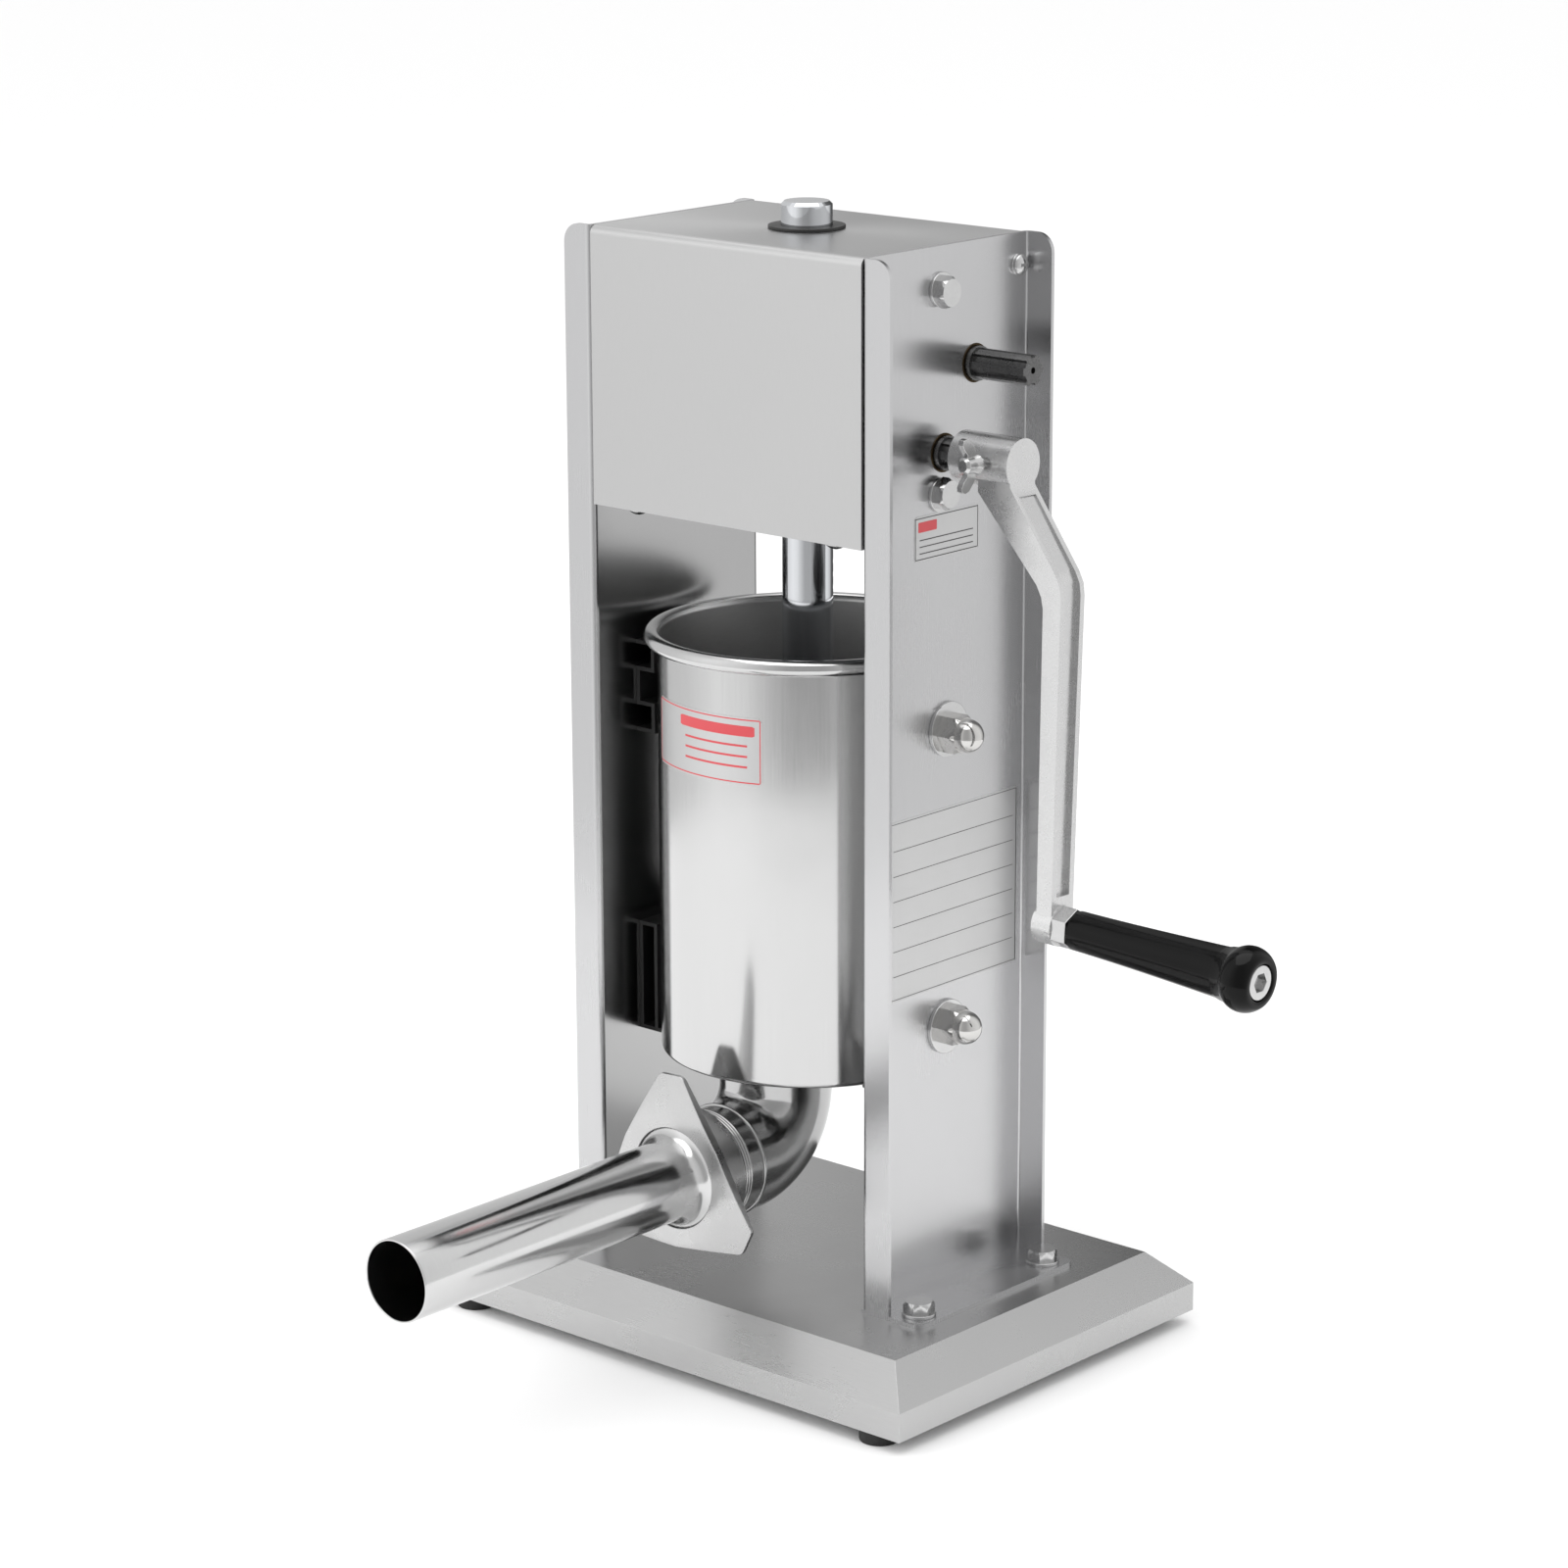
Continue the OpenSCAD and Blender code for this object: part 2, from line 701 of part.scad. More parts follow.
module large_gear() {
    color("#777777") difference() {
        on_x(gear_x, fast_y, fast_z) rotate([0, 0, mesh_angle]) linear_extrude(gear_face)
            polygon(gear_points(large_teeth, gear_mod, gear_mod, 1.25 * gear_mod, 0.93, 2));
        rod_x(gear_x - 1, gear_x + gear_face + 1, fast_y, fast_z, shaft_r + fit);
        translate([gear_x - 1, fast_y - key_s / 2, fast_z + shaft_r - 3])
            cube([gear_face + 2, key_s, 5.6]);
        // Shallow turned recess on each face
        for (x = [gear_x - 1, gear_x + gear_face - 2]) on_x(x, fast_y, fast_z) difference() {
            cylinder(r = 25, h = 3);
            translate([0, 0, -1]) cylinder(r = 14, h = 5);
        }
        for (k = [0:4]) on_x(gear_x - 1, fast_y, fast_z) rotate([0, 0, 72 * k + 36]) translate([19.5, 0, 0])
            cylinder(r = 4, h = gear_face + 2);
    }
}

module gear_key() {
    color("gray") translate([gear_x, fast_y - key_s / 2 + fit, fast_z + shaft_r - 2.5 + fit])
        cube([gear_face, key_s - 2 * fit, 5]);
}

module retaining_ring(x, y, z) {
    on_x(x, y, z) difference() {
        cylinder(r = shaft_r + 2.6, h = ring_t);
        translate([0, 0, -1]) cylinder(r = ring_groove_r + 0.05, h = ring_t + 2);
        translate([-2.4, -shaft_r - 4, -1]) cube([4.8, shaft_r + 1, ring_t + 2]);
    }
}

module retaining_rings() {
    color("#444444") retaining_ring(gear_x + gear_face + 0.2, fast_y, fast_z);
}

// Flanged bush from x0 to x1 for a shaft of radius r, its flange outside x0 or x1
module bush(x0, x1, y, z, r, flange_at) {
    difference() {
        union() {
            rod_x(x0, x1, y, z, r + run_fit + bush_wall);
            rod_x(flange_at, flange_at + bush_flange_t, y, z, bush_flange_r);
        }
        rod_x(x0 - 5, x1 + 5, y, z, r + run_fit);
    }
}

module fast_shaft_bushes() {
    color("darkgoldenrod") {
        both_sides()
            bush(side_in - bush_flange_t, web_out + 0.4, fast_y, fast_z, shaft_r, side_in - bush_flange_t);
        bush(bearing_x, bearing_x + plate_t + bush_flange_t, fast_y, fast_z, shaft_r, bearing_x + plate_t);
    }
}

module slow_shaft() {
    x0 = bearing_x - 0.5;
    x1 = bearing_x + plate_t + bush_flange_t + 0.5;
    color("#555555") union() {
        rod_x(x0, x1 + eps, slow_y, slow_z, journal_r);
        rod_x(x1, spline_from, slow_y, slow_z, shaft_r);
        on_x(gear_x - 1, slow_y, slow_z) rotate([0, 0, mesh_angle - 180 + 180 / small_teeth])
            linear_extrude(gear_face + 2)
            polygon(gear_points(small_teeth, gear_mod, gear_mod, 1.25 * gear_mod, 0.93));
        spline_end(spline_from - eps, slow_tip, slow_y, slow_z, crank_tilt);
    }
}

module slow_shaft_bushes() {
    color("darkgoldenrod") {
        bush(side_in - bush_flange_t, web_out + 0.4, slow_y, slow_z, shaft_r, side_in - bush_flange_t);
        bush(bearing_x, bearing_x + plate_t + bush_flange_t, slow_y, slow_z, journal_r, bearing_x + plate_t);
    }
}

// ---- Rack rod and piston ----

// One gap of the rack, drawn with y across the teeth and z along the rod
module rack_gap() {
    half = (rack_pitch - rack_tooth) / 2;
    top = rack_add + 1;
    polygon([
        [top, half + top * tan(pressure)], [top, -half - top * tan(pressure)],
        [-rack_ded, -half + rack_ded * tan(pressure)], [-rack_ded, half - rack_ded * tan(pressure)]
    ]);
}

module rack_rod() {
    first = floor((rack_low - fast_z) / rack_pitch);
    last = ceil((rack_high - fast_z) / rack_pitch);
    color("whitesmoke") difference() {
        union() {
            translate([0, 0, piston_top]) cylinder(r = rod_r, h = rod_len - 1.5);
            translate([0, 0, rod_top - 1.5 - eps]) cylinder(r1 = rod_r, r2 = rod_r - 1.5, h = 1.5 + eps);
            translate([0, 0, piston_z + 2]) cylinder(r = rod_stud_r, h = piston_h);
        }
        translate([-rod_r, rack_flat_y, rack_low - 3]) cube([2 * rod_r, rod_r, rod_top]);
        for (k = [first:last]) translate([-rod_r - 1, rack_pitch_y, fast_z + k * rack_pitch])
            rotate([90, 0, 90]) linear_extrude(2 * rod_r + 2) rack_gap();
    }
}

module piston() {
    color("silver") difference() {
        rotate_extrude() polygon([
            [0, piston_z], [piston_r, piston_z], [piston_r, piston_z + 5], [piston_r - 3, piston_z + 5],
            [piston_r - 3, piston_z + 9], [piston_r, piston_z + 9], [piston_r, piston_deck],
            [piston_r - 4, piston_deck], [24, piston_deck], [20, piston_top], [0, piston_top]
        ]);
        translate([0, 0, piston_z - 1]) cylinder(r = rod_stud_r + fit, h = piston_h + 2);
        translate([0, 0, piston_z - 1]) cylinder(r = 15, h = 11);
        translate([0, valve_y, piston_z - 1]) cylinder(r = valve_stem_r + gap, h = piston_h + 2);
        translate([0, valve_y, piston_z - 1]) cylinder(r = valve_head_r + gap, h = 4.4);
    }
}

module piston_seal() {
    mid = piston_z + 7;
    color("#333333") rotate_extrude() polygon(concat(
        [[piston_r - 3 + fit, mid + 2 - fit], [piston_r - 3 + fit, mid - 2 + fit]],
        arc([seal_r - seal_bead, mid], seal_bead, -60, 60)
    ));
}

module piston_nut() {
    color("silver") translate([0, 0, piston_z + 2]) hex_nut(24, 8, rod_stud_r + fit);
}

// Air release valve: its head closes a hole from below and a spring holds it up
module air_valve() {
    top = piston_deck + spring_h + 2;
    color("silver") translate([0, valve_y, 0]) {
        translate([0, 0, piston_z - 0.3]) cylinder(r = valve_head_r, h = 3.7);
        translate([0, 0, piston_z + 1]) cylinder(r = valve_stem_r, h = top - piston_z);
        translate([0, 0, top - 1.5]) cylinder(r = 6, h = 4);
    }
}

module valve_spring() {
    step = (spring_h - 2 * spring_wire) / (spring_turns - 1);
    color("lightgray") translate([0, valve_y, piston_deck + 0.1]) for (k = [0:spring_turns - 1])
        translate([0, 0, spring_wire + k * step]) rotate_extrude() translate([spring_r, 0])
            circle(r = spring_wire, $fn = 24);
}

// ---- Barrel and its cradle ----

module barrel() {
    r = barrel_bore / 2;
    rim_z = barrel_z + barrel_h;
    rim_c = [r + rim_r, rim_z];
    color("ghostwhite") rotate_extrude() polygon(concat(
        [[r - 1, barrel_z], [r + barrel_t - 2, barrel_z], [r + barrel_t, barrel_z + 2]],
        arc(rim_c, rim_r - barrel_t, 180, -90, 24),
        arc(rim_c, rim_r, -90, 180, 24),
        [[r, floor_z], [r - 1, floor_z]]
    ));
}

// Disc welded into the foot of the barrel, with the outlet's hole set forward
module barrel_floor() {
    color("ghostwhite") difference() {
        translate([0, 0, barrel_z]) cylinder(r = barrel_bore / 2 - 1, h = floor_z - barrel_z);
        translate([0, -outlet_fwd, barrel_z - 1]) cylinder(r = elbow_in, h = 4);
    }
}

// Section of an upper cradle: two raised pads with the stud's seat between them, drawn in X and Z
module upper_cradle_section() {
    deep = web_x - cradle_pad_x;
    translate([web_x - cradle_t, upper_stud_z - 9]) square([cradle_t, 18]);
    for (s = [-1, 1]) translate([cradle_pad_x, upper_stud_z]) scale([1, s]) {
        translate([0, 7.5]) square([deep, cradle_t]);
        translate([0, 20.5]) square([deep, cradle_t]);
        translate([0, 7.5]) square([cradle_t, 15]);
    }
}

// Section of a lower cradle: a box beside the barrel and a shelf under its edge
module lower_cradle_section() {
    deep = web_x - cradle_pad_x;
    top = lower_stud_z + 26;
    translate([web_x - cradle_t, barrel_z - cradle_t]) square([cradle_t, top - barrel_z + cradle_t]);
    translate([cradle_pad_x, barrel_z - cradle_t]) square([cradle_t, top - barrel_z + cradle_t]);
    translate([cradle_pad_x, top - cradle_t]) square([deep, cradle_t]);
    translate([cradle_pad_x - 12, barrel_z - cradle_t]) square([deep + 12, cradle_t]);
}

// Tab at the rear of a cradle that stops the barrel
module rear_stop(z0, z1) {
    x0 = sqrt(pow(barrel_bore / 2 + barrel_t, 2) - pow(cradle_hw - cradle_t, 2)) + 0.8;
    translate([x0, cradle_hw - cradle_t, z0]) cube([web_x - x0, cradle_t, z1 - z0]);
}

module along_y(half) {
    translate([0, half, 0]) rotate([90, 0, 0]) linear_extrude(2 * half) children();
}

module upper_cradles() {
    color("silver") both_sides() difference() {
        union() {
            along_y(cradle_hw) upper_cradle_section();
            rear_stop(upper_stud_z - 22.5, upper_stud_z + 22.5);
        }
        rod_x(web_x - cradle_t - 1, web_x + 1, 0, upper_stud_z, stud_r + screw_fit);
    }
}

module lower_cradles() {
    color("silver") both_sides() difference() {
        union() {
            along_y(cradle_hw) lower_cradle_section();
            rear_stop(barrel_z - cradle_t, lower_stud_z + 26);
        }
        rod_x(web_x - cradle_t - 1, web_x + 1, 0, lower_stud_z, stud_r + screw_fit);
    }
}

module cradle_studs() {
    color("silver") both_sides() for (z = [upper_stud_z, lower_stud_z]) {
        rod_x(web_x - cradle_t - 3, web_x - cradle_t, 0, z, 7);
        rod_x(web_x - cradle_t - 1, web_out + stud_washer_t + 10, 0, z, stud_r);
    }
}

module cradle_washers() {
    color("silver") both_sides() for (z = [upper_stud_z, lower_stud_z])
        on_x(web_out, 0, z) washer(stud_washer_r, stud_r + screw_fit, stud_washer_t);
}

// Domed cap nut along X
module acorn_nut(x, z) {
    on_x(x, 0, z) difference() {
        union() {
            hex_prism(17, 9);
            translate([0, 0, 8]) cylinder(r = 8, h = 2);
            translate([0, 0, 10]) intersection() {
                sphere(r = 8);
                translate([-9, -9, 0]) cube([18, 18, 9]);
            }
        }
        translate([0, 0, -1]) cylinder(r = stud_r + fit, h = 12);
    }
}

module acorn_nuts() {
    color("silver") both_sides() for (z = [upper_stud_z, lower_stud_z]) acorn_nut(web_out + stud_washer_t, z);
}

// ---- Outlet, ring nut and nozzle ----

// Turns a profile drawn as [radius, distance along -Y] about the outlet's horizontal axis
module about_outlet() {
    translate([0, 0, outlet_z]) rotate([90, 0, 0]) rotate_extrude() children();
}

module outlet_elbow() {
    bend_z = outlet_z + elbow_bend;
    color("silver") difference() {
        union() {
            translate([0, -outlet_fwd, bend_z]) cylinder(r = elbow_r, h = barrel_z - bend_z);
            elbow_bend_solid(elbow_r);
            translate([0, -outlet_fwd - elbow_bend, outlet_z]) rotate([90, 0, 0])
                cylinder(r = elbow_r, h = -seam_y - outlet_fwd - elbow_bend);
        }
        translate([0, -outlet_fwd, bend_z]) cylinder(r = elbow_in, h = barrel_z - bend_z + 1);
        elbow_bend_solid(elbow_in);
        translate([0, -outlet_fwd - elbow_bend, outlet_z]) rotate([90, 0, 0])
            cylinder(r = elbow_in, h = -seam_y - outlet_fwd - elbow_bend + 1);
    }
}

// Quarter bend of radius r: it turns from straight down to forward
module elbow_bend_solid(r) {
    translate([0, -outlet_fwd - elbow_bend, outlet_z + elbow_bend]) rotate([0, 90, 0]) rotate([0, 0, 0])
        rotate_extrude(angle = 90) translate([elbow_bend, 0]) circle(r = r);
}

module thread_collar() {
    ridges = floor((seam_y - collar_end - 11) / thread_pitch);
    color("gray") about_outlet() difference() {
        union() {
            translate([elbow_in, -seam_y]) square([collar_r - elbow_in, seam_y - collar_end]);
            translate([elbow_in, -seam_y]) square([elbow_r + 0.9 - elbow_in, 2]);
            for (k = [0:ridges]) translate([elbow_in, -seam_y + 9.5 + k * thread_pitch]) polygon([
                [0, 0], [thread_r - elbow_in, 0.6], [thread_r - elbow_in, 1.4], [0, 2]
            ]);
        }
        translate([0, -seam_y - 1]) square([elbow_in, 1]);
    }
}

module outlet_gasket() {
    color("whitesmoke") about_outlet() translate([elbow_in - 3, -collar_end])
        square([collar_r - elbow_in + 3, gasket_t]);
}

// Outline of the ring nut: three blunt lobes joined by nearly straight sides
module nut_outline() {
    c = nut_tip_r - nut_lobe_r;
    lean = atan(nut_lobe_hw / c);
    reach = acos((nut_flat_r - nut_lobe_r) / norm([c, nut_lobe_hw]));
    polygon([for (k = [0:2]) let (a = 93 + 120 * k) for (p = concat(
        arc(c * [cos(a), sin(a)] + nut_lobe_hw * [sin(a), -cos(a)], nut_lobe_r, a - lean - reach, a, 7),
        arc(c * [cos(a), sin(a)] - nut_lobe_hw * [sin(a), -cos(a)], nut_lobe_r, a, a + lean + reach, 7),
        [nut_flat_r * [cos(a + 60), sin(a + 60)]]
    )) p]);
}

module ring_nut() {
    color("lightgray") translate([0, 0, outlet_z]) rotate([90, 0, 0]) difference() {
        union() {
            intersection() {
                translate([0, 0, -flange_face]) linear_extrude(nut_plate_t) nut_outline();
                // The face falls away toward the tips and dips a little toward the hole
                rotate_extrude() polygon([
                    [0, -flange_face - 1], [nut_tip_r + 2, -flange_face - 1], [nut_tip_r + 2, -nut_face - 3.1],
                    [nut_skirt_r + 0.5, -nut_face], [nut_hole_r, -nut_face - 0.8], [0, -nut_face - 0.8]
                ]);
            }
            translate([0, 0, -flange_face - nut_skirt]) cylinder(r = nut_skirt_r, h = nut_skirt + eps);
        }
        translate([0, 0, -flange_face - nut_skirt - 1]) cylinder(r = nut_bore_r, h = nut_skirt + 1);
        translate([0, 0, -flange_face - 1]) cylinder(r = nut_hole_r, h = nut_plate_t + 2);
    }
}

module nozzle() {
    boss = -nut_face + 1.5;
    back = -collar_end + gasket_t;
    color("whitesmoke") about_outlet() polygon(concat(
        [[nozzle_r - nozzle_t, -nozzle_tip], [nozzle_r - nozzle_t, back], [collar_r, back]],
        [[collar_r, -flange_face], [nozzle_boss_r, -flange_face]],
        [for (i = [0:8]) let (a = 270 - 90 * i / 8)
            [nozzle_r + flare_r * (1 + cos(a)), boss + flare_l * (1 + sin(a))]],
        [[nozzle_r, -nozzle_tip]]
    ));
}

// ---- Crank ----

// Places a shape drawn about the crank's axis, with the arm hanging down
module on_crank() {
    translate([0, slow_y, slow_z]) rotate([crank_tilt, 0, 0]) children();
}

// Side outline of the arm in X and Z: it slopes out from the hub, then hangs straight
module arm_side() {
    polygon([
        [hub_x + 15.6, -3], [hub_end, -3], [hub_end, -9.5], [arm_out - 3.4, -arm_knee + 7.5],
        [arm_out - 0.8, -arm_knee + 2.5], [arm_out, -arm_knee - 3], [arm_out, -crank_r - 4],
        [arm_in + 1.5, -crank_r - 4], [arm_in, -arm_knee - 8.5], [arm_in - 1.1, -arm_knee - 3.5],
        [arm_in - 4, -arm_knee + 1.8], [hub_x + 15.6, -13.5]
    ]);
}

// Front outline of the arm in Y and Z
module arm_front() {
    polygon([
        [-9, 0], [9, 0], [8.7, -arm_knee], [7.8, -crank_r - 4], [-7.8, -crank_r - 4], [-8.7, -arm_knee]
    ]);
}

module arm_blank() {
    intersection() {
        translate([0, 20, 0]) rotate([90, 0, 0]) linear_extrude(40) arm_side();
        on_x(hub_x, 0, 0) linear_extrude(arm_out - hub_x + 20) arm_front();
    }
}

module crank_arm() {
    color("silver") difference() {
        union() {
            on_crank() rod_x(hub_x, hub_end, 0, 0, hub_r);
            on_crank() arm_blank();
            on_grip_axis() translate([0, 0, arm_in - 0.3]) cylinder(r = boss_r, h = nut_x - arm_in + 0.3);
        }
        // Panel sunk into the arm's outer face, clear of the hub and the boss
        on_crank() intersection() {
            arm_panel();
            on_x(hub_x, 0, 0) linear_extrude(90) polygon([
                [-5.9, -13.6], [5.9, -13.6], [5.7, -arm_knee],
                [4.6, -crank_r + 14], [-4.6, -crank_r + 14], [-5.7, -arm_knee]
            ]);
        }
        // Blind bore for the shaft's splines
        on_crank() rod_x(hub_x - 1, hub_end - 4, 0, 0, spline_r + 0.1);
        on_grip_axis() translate([0, 0, arm_in - 3]) cylinder(r = grip_bolt_r + fit, h = nut_x - arm_in + 4);
        on_crank() translate([wing_x, 0, 0]) rotate([90, 0, 0]) cylinder(r = 3 + fit, h = hub_r + 2);
    }
}

// Depth region of the sunk panel on the arm's outer face
module arm_panel() {
    depth = 2.4;
    translate([0, 20, 0]) rotate([90, 0, 0]) linear_extrude(40) polygon([
        [hub_end - depth, -7.5], [hub_end + 2, -7.5], [arm_out + 2, -arm_knee + 9], [arm_out + 2, -crank_r],
        [arm_out - depth, -crank_r], [arm_out - depth, -arm_knee - 2], [arm_out - depth - 0.8, -arm_knee + 3.4],
        [arm_out - depth - 3.4, -arm_knee + 8.6]
    ]);
}

module wing_screw() {
    color("silver") on_crank() translate([wing_x, -hub_r, 0]) rotate([90, 0, 0]) {
        translate([0, 0, -hub_r + spline_r + 0.1]) cylinder(r = 3, h = hub_r - spline_r + 4);
        translate([0, 0, 2.6]) cylinder(r1 = 4.9, r2 = 4, h = 3.4);
        translate([0, 0, 6]) cylinder(r1 = 4, r2 = 3.8, h = 4.6);
        translate([0, 0, 10.6]) cylinder(r1 = 3.8, r2 = 2.6, h = 1.2);
        for (s = [-1, 1]) scale([1, s, 1]) translate([-1.5, 0, 0]) rotate([90, 0, 90]) linear_extrude(3)
            polygon([[2, 3.4], [4.8, 3.8], [8.6, 5.8], [11.6, 8.6], [12.4, 11], [11.6, 13.2], [9.6, 13.6],
                [7.2, 12.2], [5, 10], [2, 9.6]]);
    }
}

// Places a shape drawn about the grip bolt's axis, which dips a little as it leaves the arm
module on_grip_axis() {
    on_crank() translate([arm_out, 0, -crank_r]) rotate([0, grip_droop, 0]) translate([-arm_out, 0, 0])
        rotate([90, 0, 90]) children();
}

module grip() {
    bead_at = grip_out - 18.5;
    color("#151515") on_grip_axis() difference() {
        rotate_extrude() polygon(concat(
            [[0, grip_x], [grip_r - 0.8, grip_x], [grip_r, grip_x + 0.8]],
            [for (i = [1:6]) let (f = i / 6)
                [grip_r + (grip_end_r - grip_r) * pow(f, 1.4), grip_x + f * (bead_at - 2 - grip_x)]],
            [[grip_end_r + 0.3, bead_at], [grip_end_r + 1, bead_at + 1]],
            arc([grip_bead_r - 10.5, grip_out - 8], 10.5, -38, 49, 10),
            [[cap_head_r + 1.6, grip_out], [0, grip_out]]
        ));
        translate([0, 0, grip_x - 1]) cylinder(r = grip_bolt_r + run_fit, h = grip_l + 2);
        translate([0, 0, grip_out - grip_recess]) cylinder(r = cap_head_r + gap + 0.2, h = grip_recess + 1);
    }
}

module grip_bolt() {
    head = grip_out - grip_recess + 0.4;
    color("silver") on_grip_axis() difference() {
        union() {
            translate([0, 0, arm_in - 1]) cylinder(r = grip_bolt_r, h = head - arm_in + 1 + eps);
            translate([0, 0, head]) cylinder(r = cap_head_r, h = cap_head_t);
        }
        translate([0, 0, head + cap_head_t - 5]) hex_prism(8, 6);
    }
}

module grip_nut() {
    color("silver") on_grip_axis() translate([0, 0, nut_x]) rotate([0, 0, 30])
        hex_nut(17, grip_nut_t, grip_bolt_r + fit);
}

base_pan();
rubber_feet();
foot_studs();
foot_nuts();
left_column();
right_column();
column_bolts();
column_washers();
column_nuts();
gearbox_cover();
cover_screws();
web_screws();
web_screw_washers();
web_screw_nuts();
gear_frame();
bearing_plate();
plate_pillars();
pillar_screws();
frame_bolts();
frame_washers();
frame_nuts();
top_rod_guide();
lower_rod_guide();
fast_shaft();
large_gear();
gear_key();
retaining_rings();
fast_shaft_bushes();
slow_shaft();
slow_shaft_bushes();
rack_rod();
piston();
piston_seal();
piston_nut();
air_valve();
valve_spring();
barrel();
barrel_floor();
outlet_elbow();
thread_collar();
outlet_gasket();
ring_nut();
nozzle();
upper_cradles();
lower_cradles();
cradle_studs();
cradle_washers();
acorn_nuts();
crank_arm();
wing_screw();
grip();
grip_bolt();
grip_nut();
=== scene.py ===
# Upright sausage stuffer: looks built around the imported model. Lengths in the dictionaries are millimetres.
import bpy
import bmesh
import json
import math
from mathutils import Matrix, Vector


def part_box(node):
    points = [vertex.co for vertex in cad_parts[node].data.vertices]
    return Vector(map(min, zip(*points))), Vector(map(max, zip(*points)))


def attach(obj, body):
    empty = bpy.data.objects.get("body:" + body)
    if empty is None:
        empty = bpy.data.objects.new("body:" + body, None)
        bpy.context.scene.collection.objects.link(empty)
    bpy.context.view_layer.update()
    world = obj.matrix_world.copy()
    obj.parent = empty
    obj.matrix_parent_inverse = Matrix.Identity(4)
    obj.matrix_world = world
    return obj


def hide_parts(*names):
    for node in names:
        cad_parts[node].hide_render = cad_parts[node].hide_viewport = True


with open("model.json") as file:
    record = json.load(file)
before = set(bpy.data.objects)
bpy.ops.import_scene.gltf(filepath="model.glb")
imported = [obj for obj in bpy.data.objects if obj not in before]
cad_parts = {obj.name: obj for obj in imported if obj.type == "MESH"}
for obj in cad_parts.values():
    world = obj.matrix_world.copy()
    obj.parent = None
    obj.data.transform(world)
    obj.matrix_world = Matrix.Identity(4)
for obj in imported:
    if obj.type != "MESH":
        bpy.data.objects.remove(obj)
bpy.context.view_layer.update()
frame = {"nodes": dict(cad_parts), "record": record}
nodes = frame["nodes"]
bodyOf = {name: body for body, members in frame["record"]["behaviour"]["bodies"].items() for name in members}
slotOf = {part["node"]: part["material_slot"] for part in frame["record"]["subparts"]}
mm = 0.001
print("frame loaded:", len(nodes), "nodes")


# Small helpers

def toLinear(code):
    parts = [int(code[i:i + 2], 16) / 255 for i in (1, 3, 5)]
    return tuple(c / 12.92 if c <= 0.04045 else ((c + 0.055) / 1.055) ** 2.4 for c in parts) + (1.0,)


# Settings go to the node's sockets or its own properties, links come from other nodes' outputs
def addNode(tree, kind, settings=None, links=None):
    node = tree.nodes.new(kind)
    for key, value in (settings or {}).items():
        if isinstance(key, int) or key in node.inputs:
            node.inputs[key].default_value = value
        else:
            setattr(node, key, value)
    for key, output in (links or {}).items():
        tree.links.new(output, node.inputs[key])
    return node


def rampColours(node, stops):
    ramp = node.color_ramp
    while len(ramp.elements) > 1:
        ramp.elements.remove(ramp.elements[-1])
    ramp.elements[0].position, ramp.elements[0].color = stops[0]
    for position, colour in stops[1:]:
        ramp.elements.new(position).color = colour
    return node


def grey(value):
    return (value, value, value, 1.0)


# Materials

# Grain is how many times finer the marks are along X, Y and Z than grainMm says
def metal(name, colour, rough, grain=(1, 1, 1), grainMm=0.5, bump=0.02, cloud=0.05, cloudMm=40, tint=0.06,
          stretch=0.0, pitMm=0.0, pit=0.0):
    material = bpy.data.materials.new(name)
    material.use_nodes = True
    tree = material.node_tree
    shader = tree.nodes["Principled BSDF"]
    shader.inputs["Metallic"].default_value = 1.0
    place = addNode(tree, "ShaderNodeTexCoord")
    spread = addNode(tree, "ShaderNodeMapping", {"Scale": Vector(grain) / (grainMm * mm)},
                     {"Vector": place.outputs["Object"]})
    marks = addNode(tree, "ShaderNodeTexNoise", {"Scale": 1.0, "Detail": 3.0, "Roughness": 0.6},
                    {"Vector": spread.outputs["Vector"]})
    patches = addNode(tree, "ShaderNodeTexNoise", {"Scale": 1 / (cloudMm * mm), "Detail": 4.0},
                      {"Vector": place.outputs["Object"]})
    # Handling marks and polishing haze: slow patches plus the fine marks, both in the gloss
    mixed = addNode(tree, "ShaderNodeMath", {"operation": "MULTIPLY_ADD", 1: 0.35},
                    {0: marks.outputs[0], 2: patches.outputs[0]})
    gloss = addNode(tree, "ShaderNodeMapRange", {"From Min": 0.45, "From Max": 0.9,
                                                 "To Min": max(0.02, rough - cloud), "To Max": rough + cloud},
                    {"Value": mixed.outputs[0]})
    tree.links.new(gloss.outputs[0], shader.inputs["Roughness"])
    base = Vector(toLinear(colour)[:3])
    shade = rampColours(addNode(tree, "ShaderNodeValToRGB", links={"Fac": marks.outputs[0]}), [
        (0.3, (*(base * (1 - tint)), 1)), (0.7, (*(base * (1 + tint)), 1))])
    tree.links.new(shade.outputs["Color"], shader.inputs["Base Color"])
    height = marks.outputs[0]
    if pit:
        pits = addNode(tree, "ShaderNodeTexNoise", {"Scale": 1 / (pitMm * mm), "Detail": 2.0},
                       {"Vector": place.outputs["Object"]})
        joined = addNode(tree, "ShaderNodeMath", {"operation": "MULTIPLY_ADD", 1: pit},
                         {0: pits.outputs[0], 2: marks.outputs[0]})
        height = joined.outputs[0]
    raised = addNode(tree, "ShaderNodeBump", {"Strength": bump, "Distance": 0.2 * mm}, {"Height": height})
    tree.links.new(raised.outputs[0], shader.inputs["Normal"])
    if stretch:
        shader.inputs["Anisotropic"].default_value = stretch
        turn = addNode(tree, "ShaderNodeTangent", {"direction_type": "RADIAL", "axis": "Z"})
        tree.links.new(turn.outputs[0], shader.inputs["Tangent"])
    return material


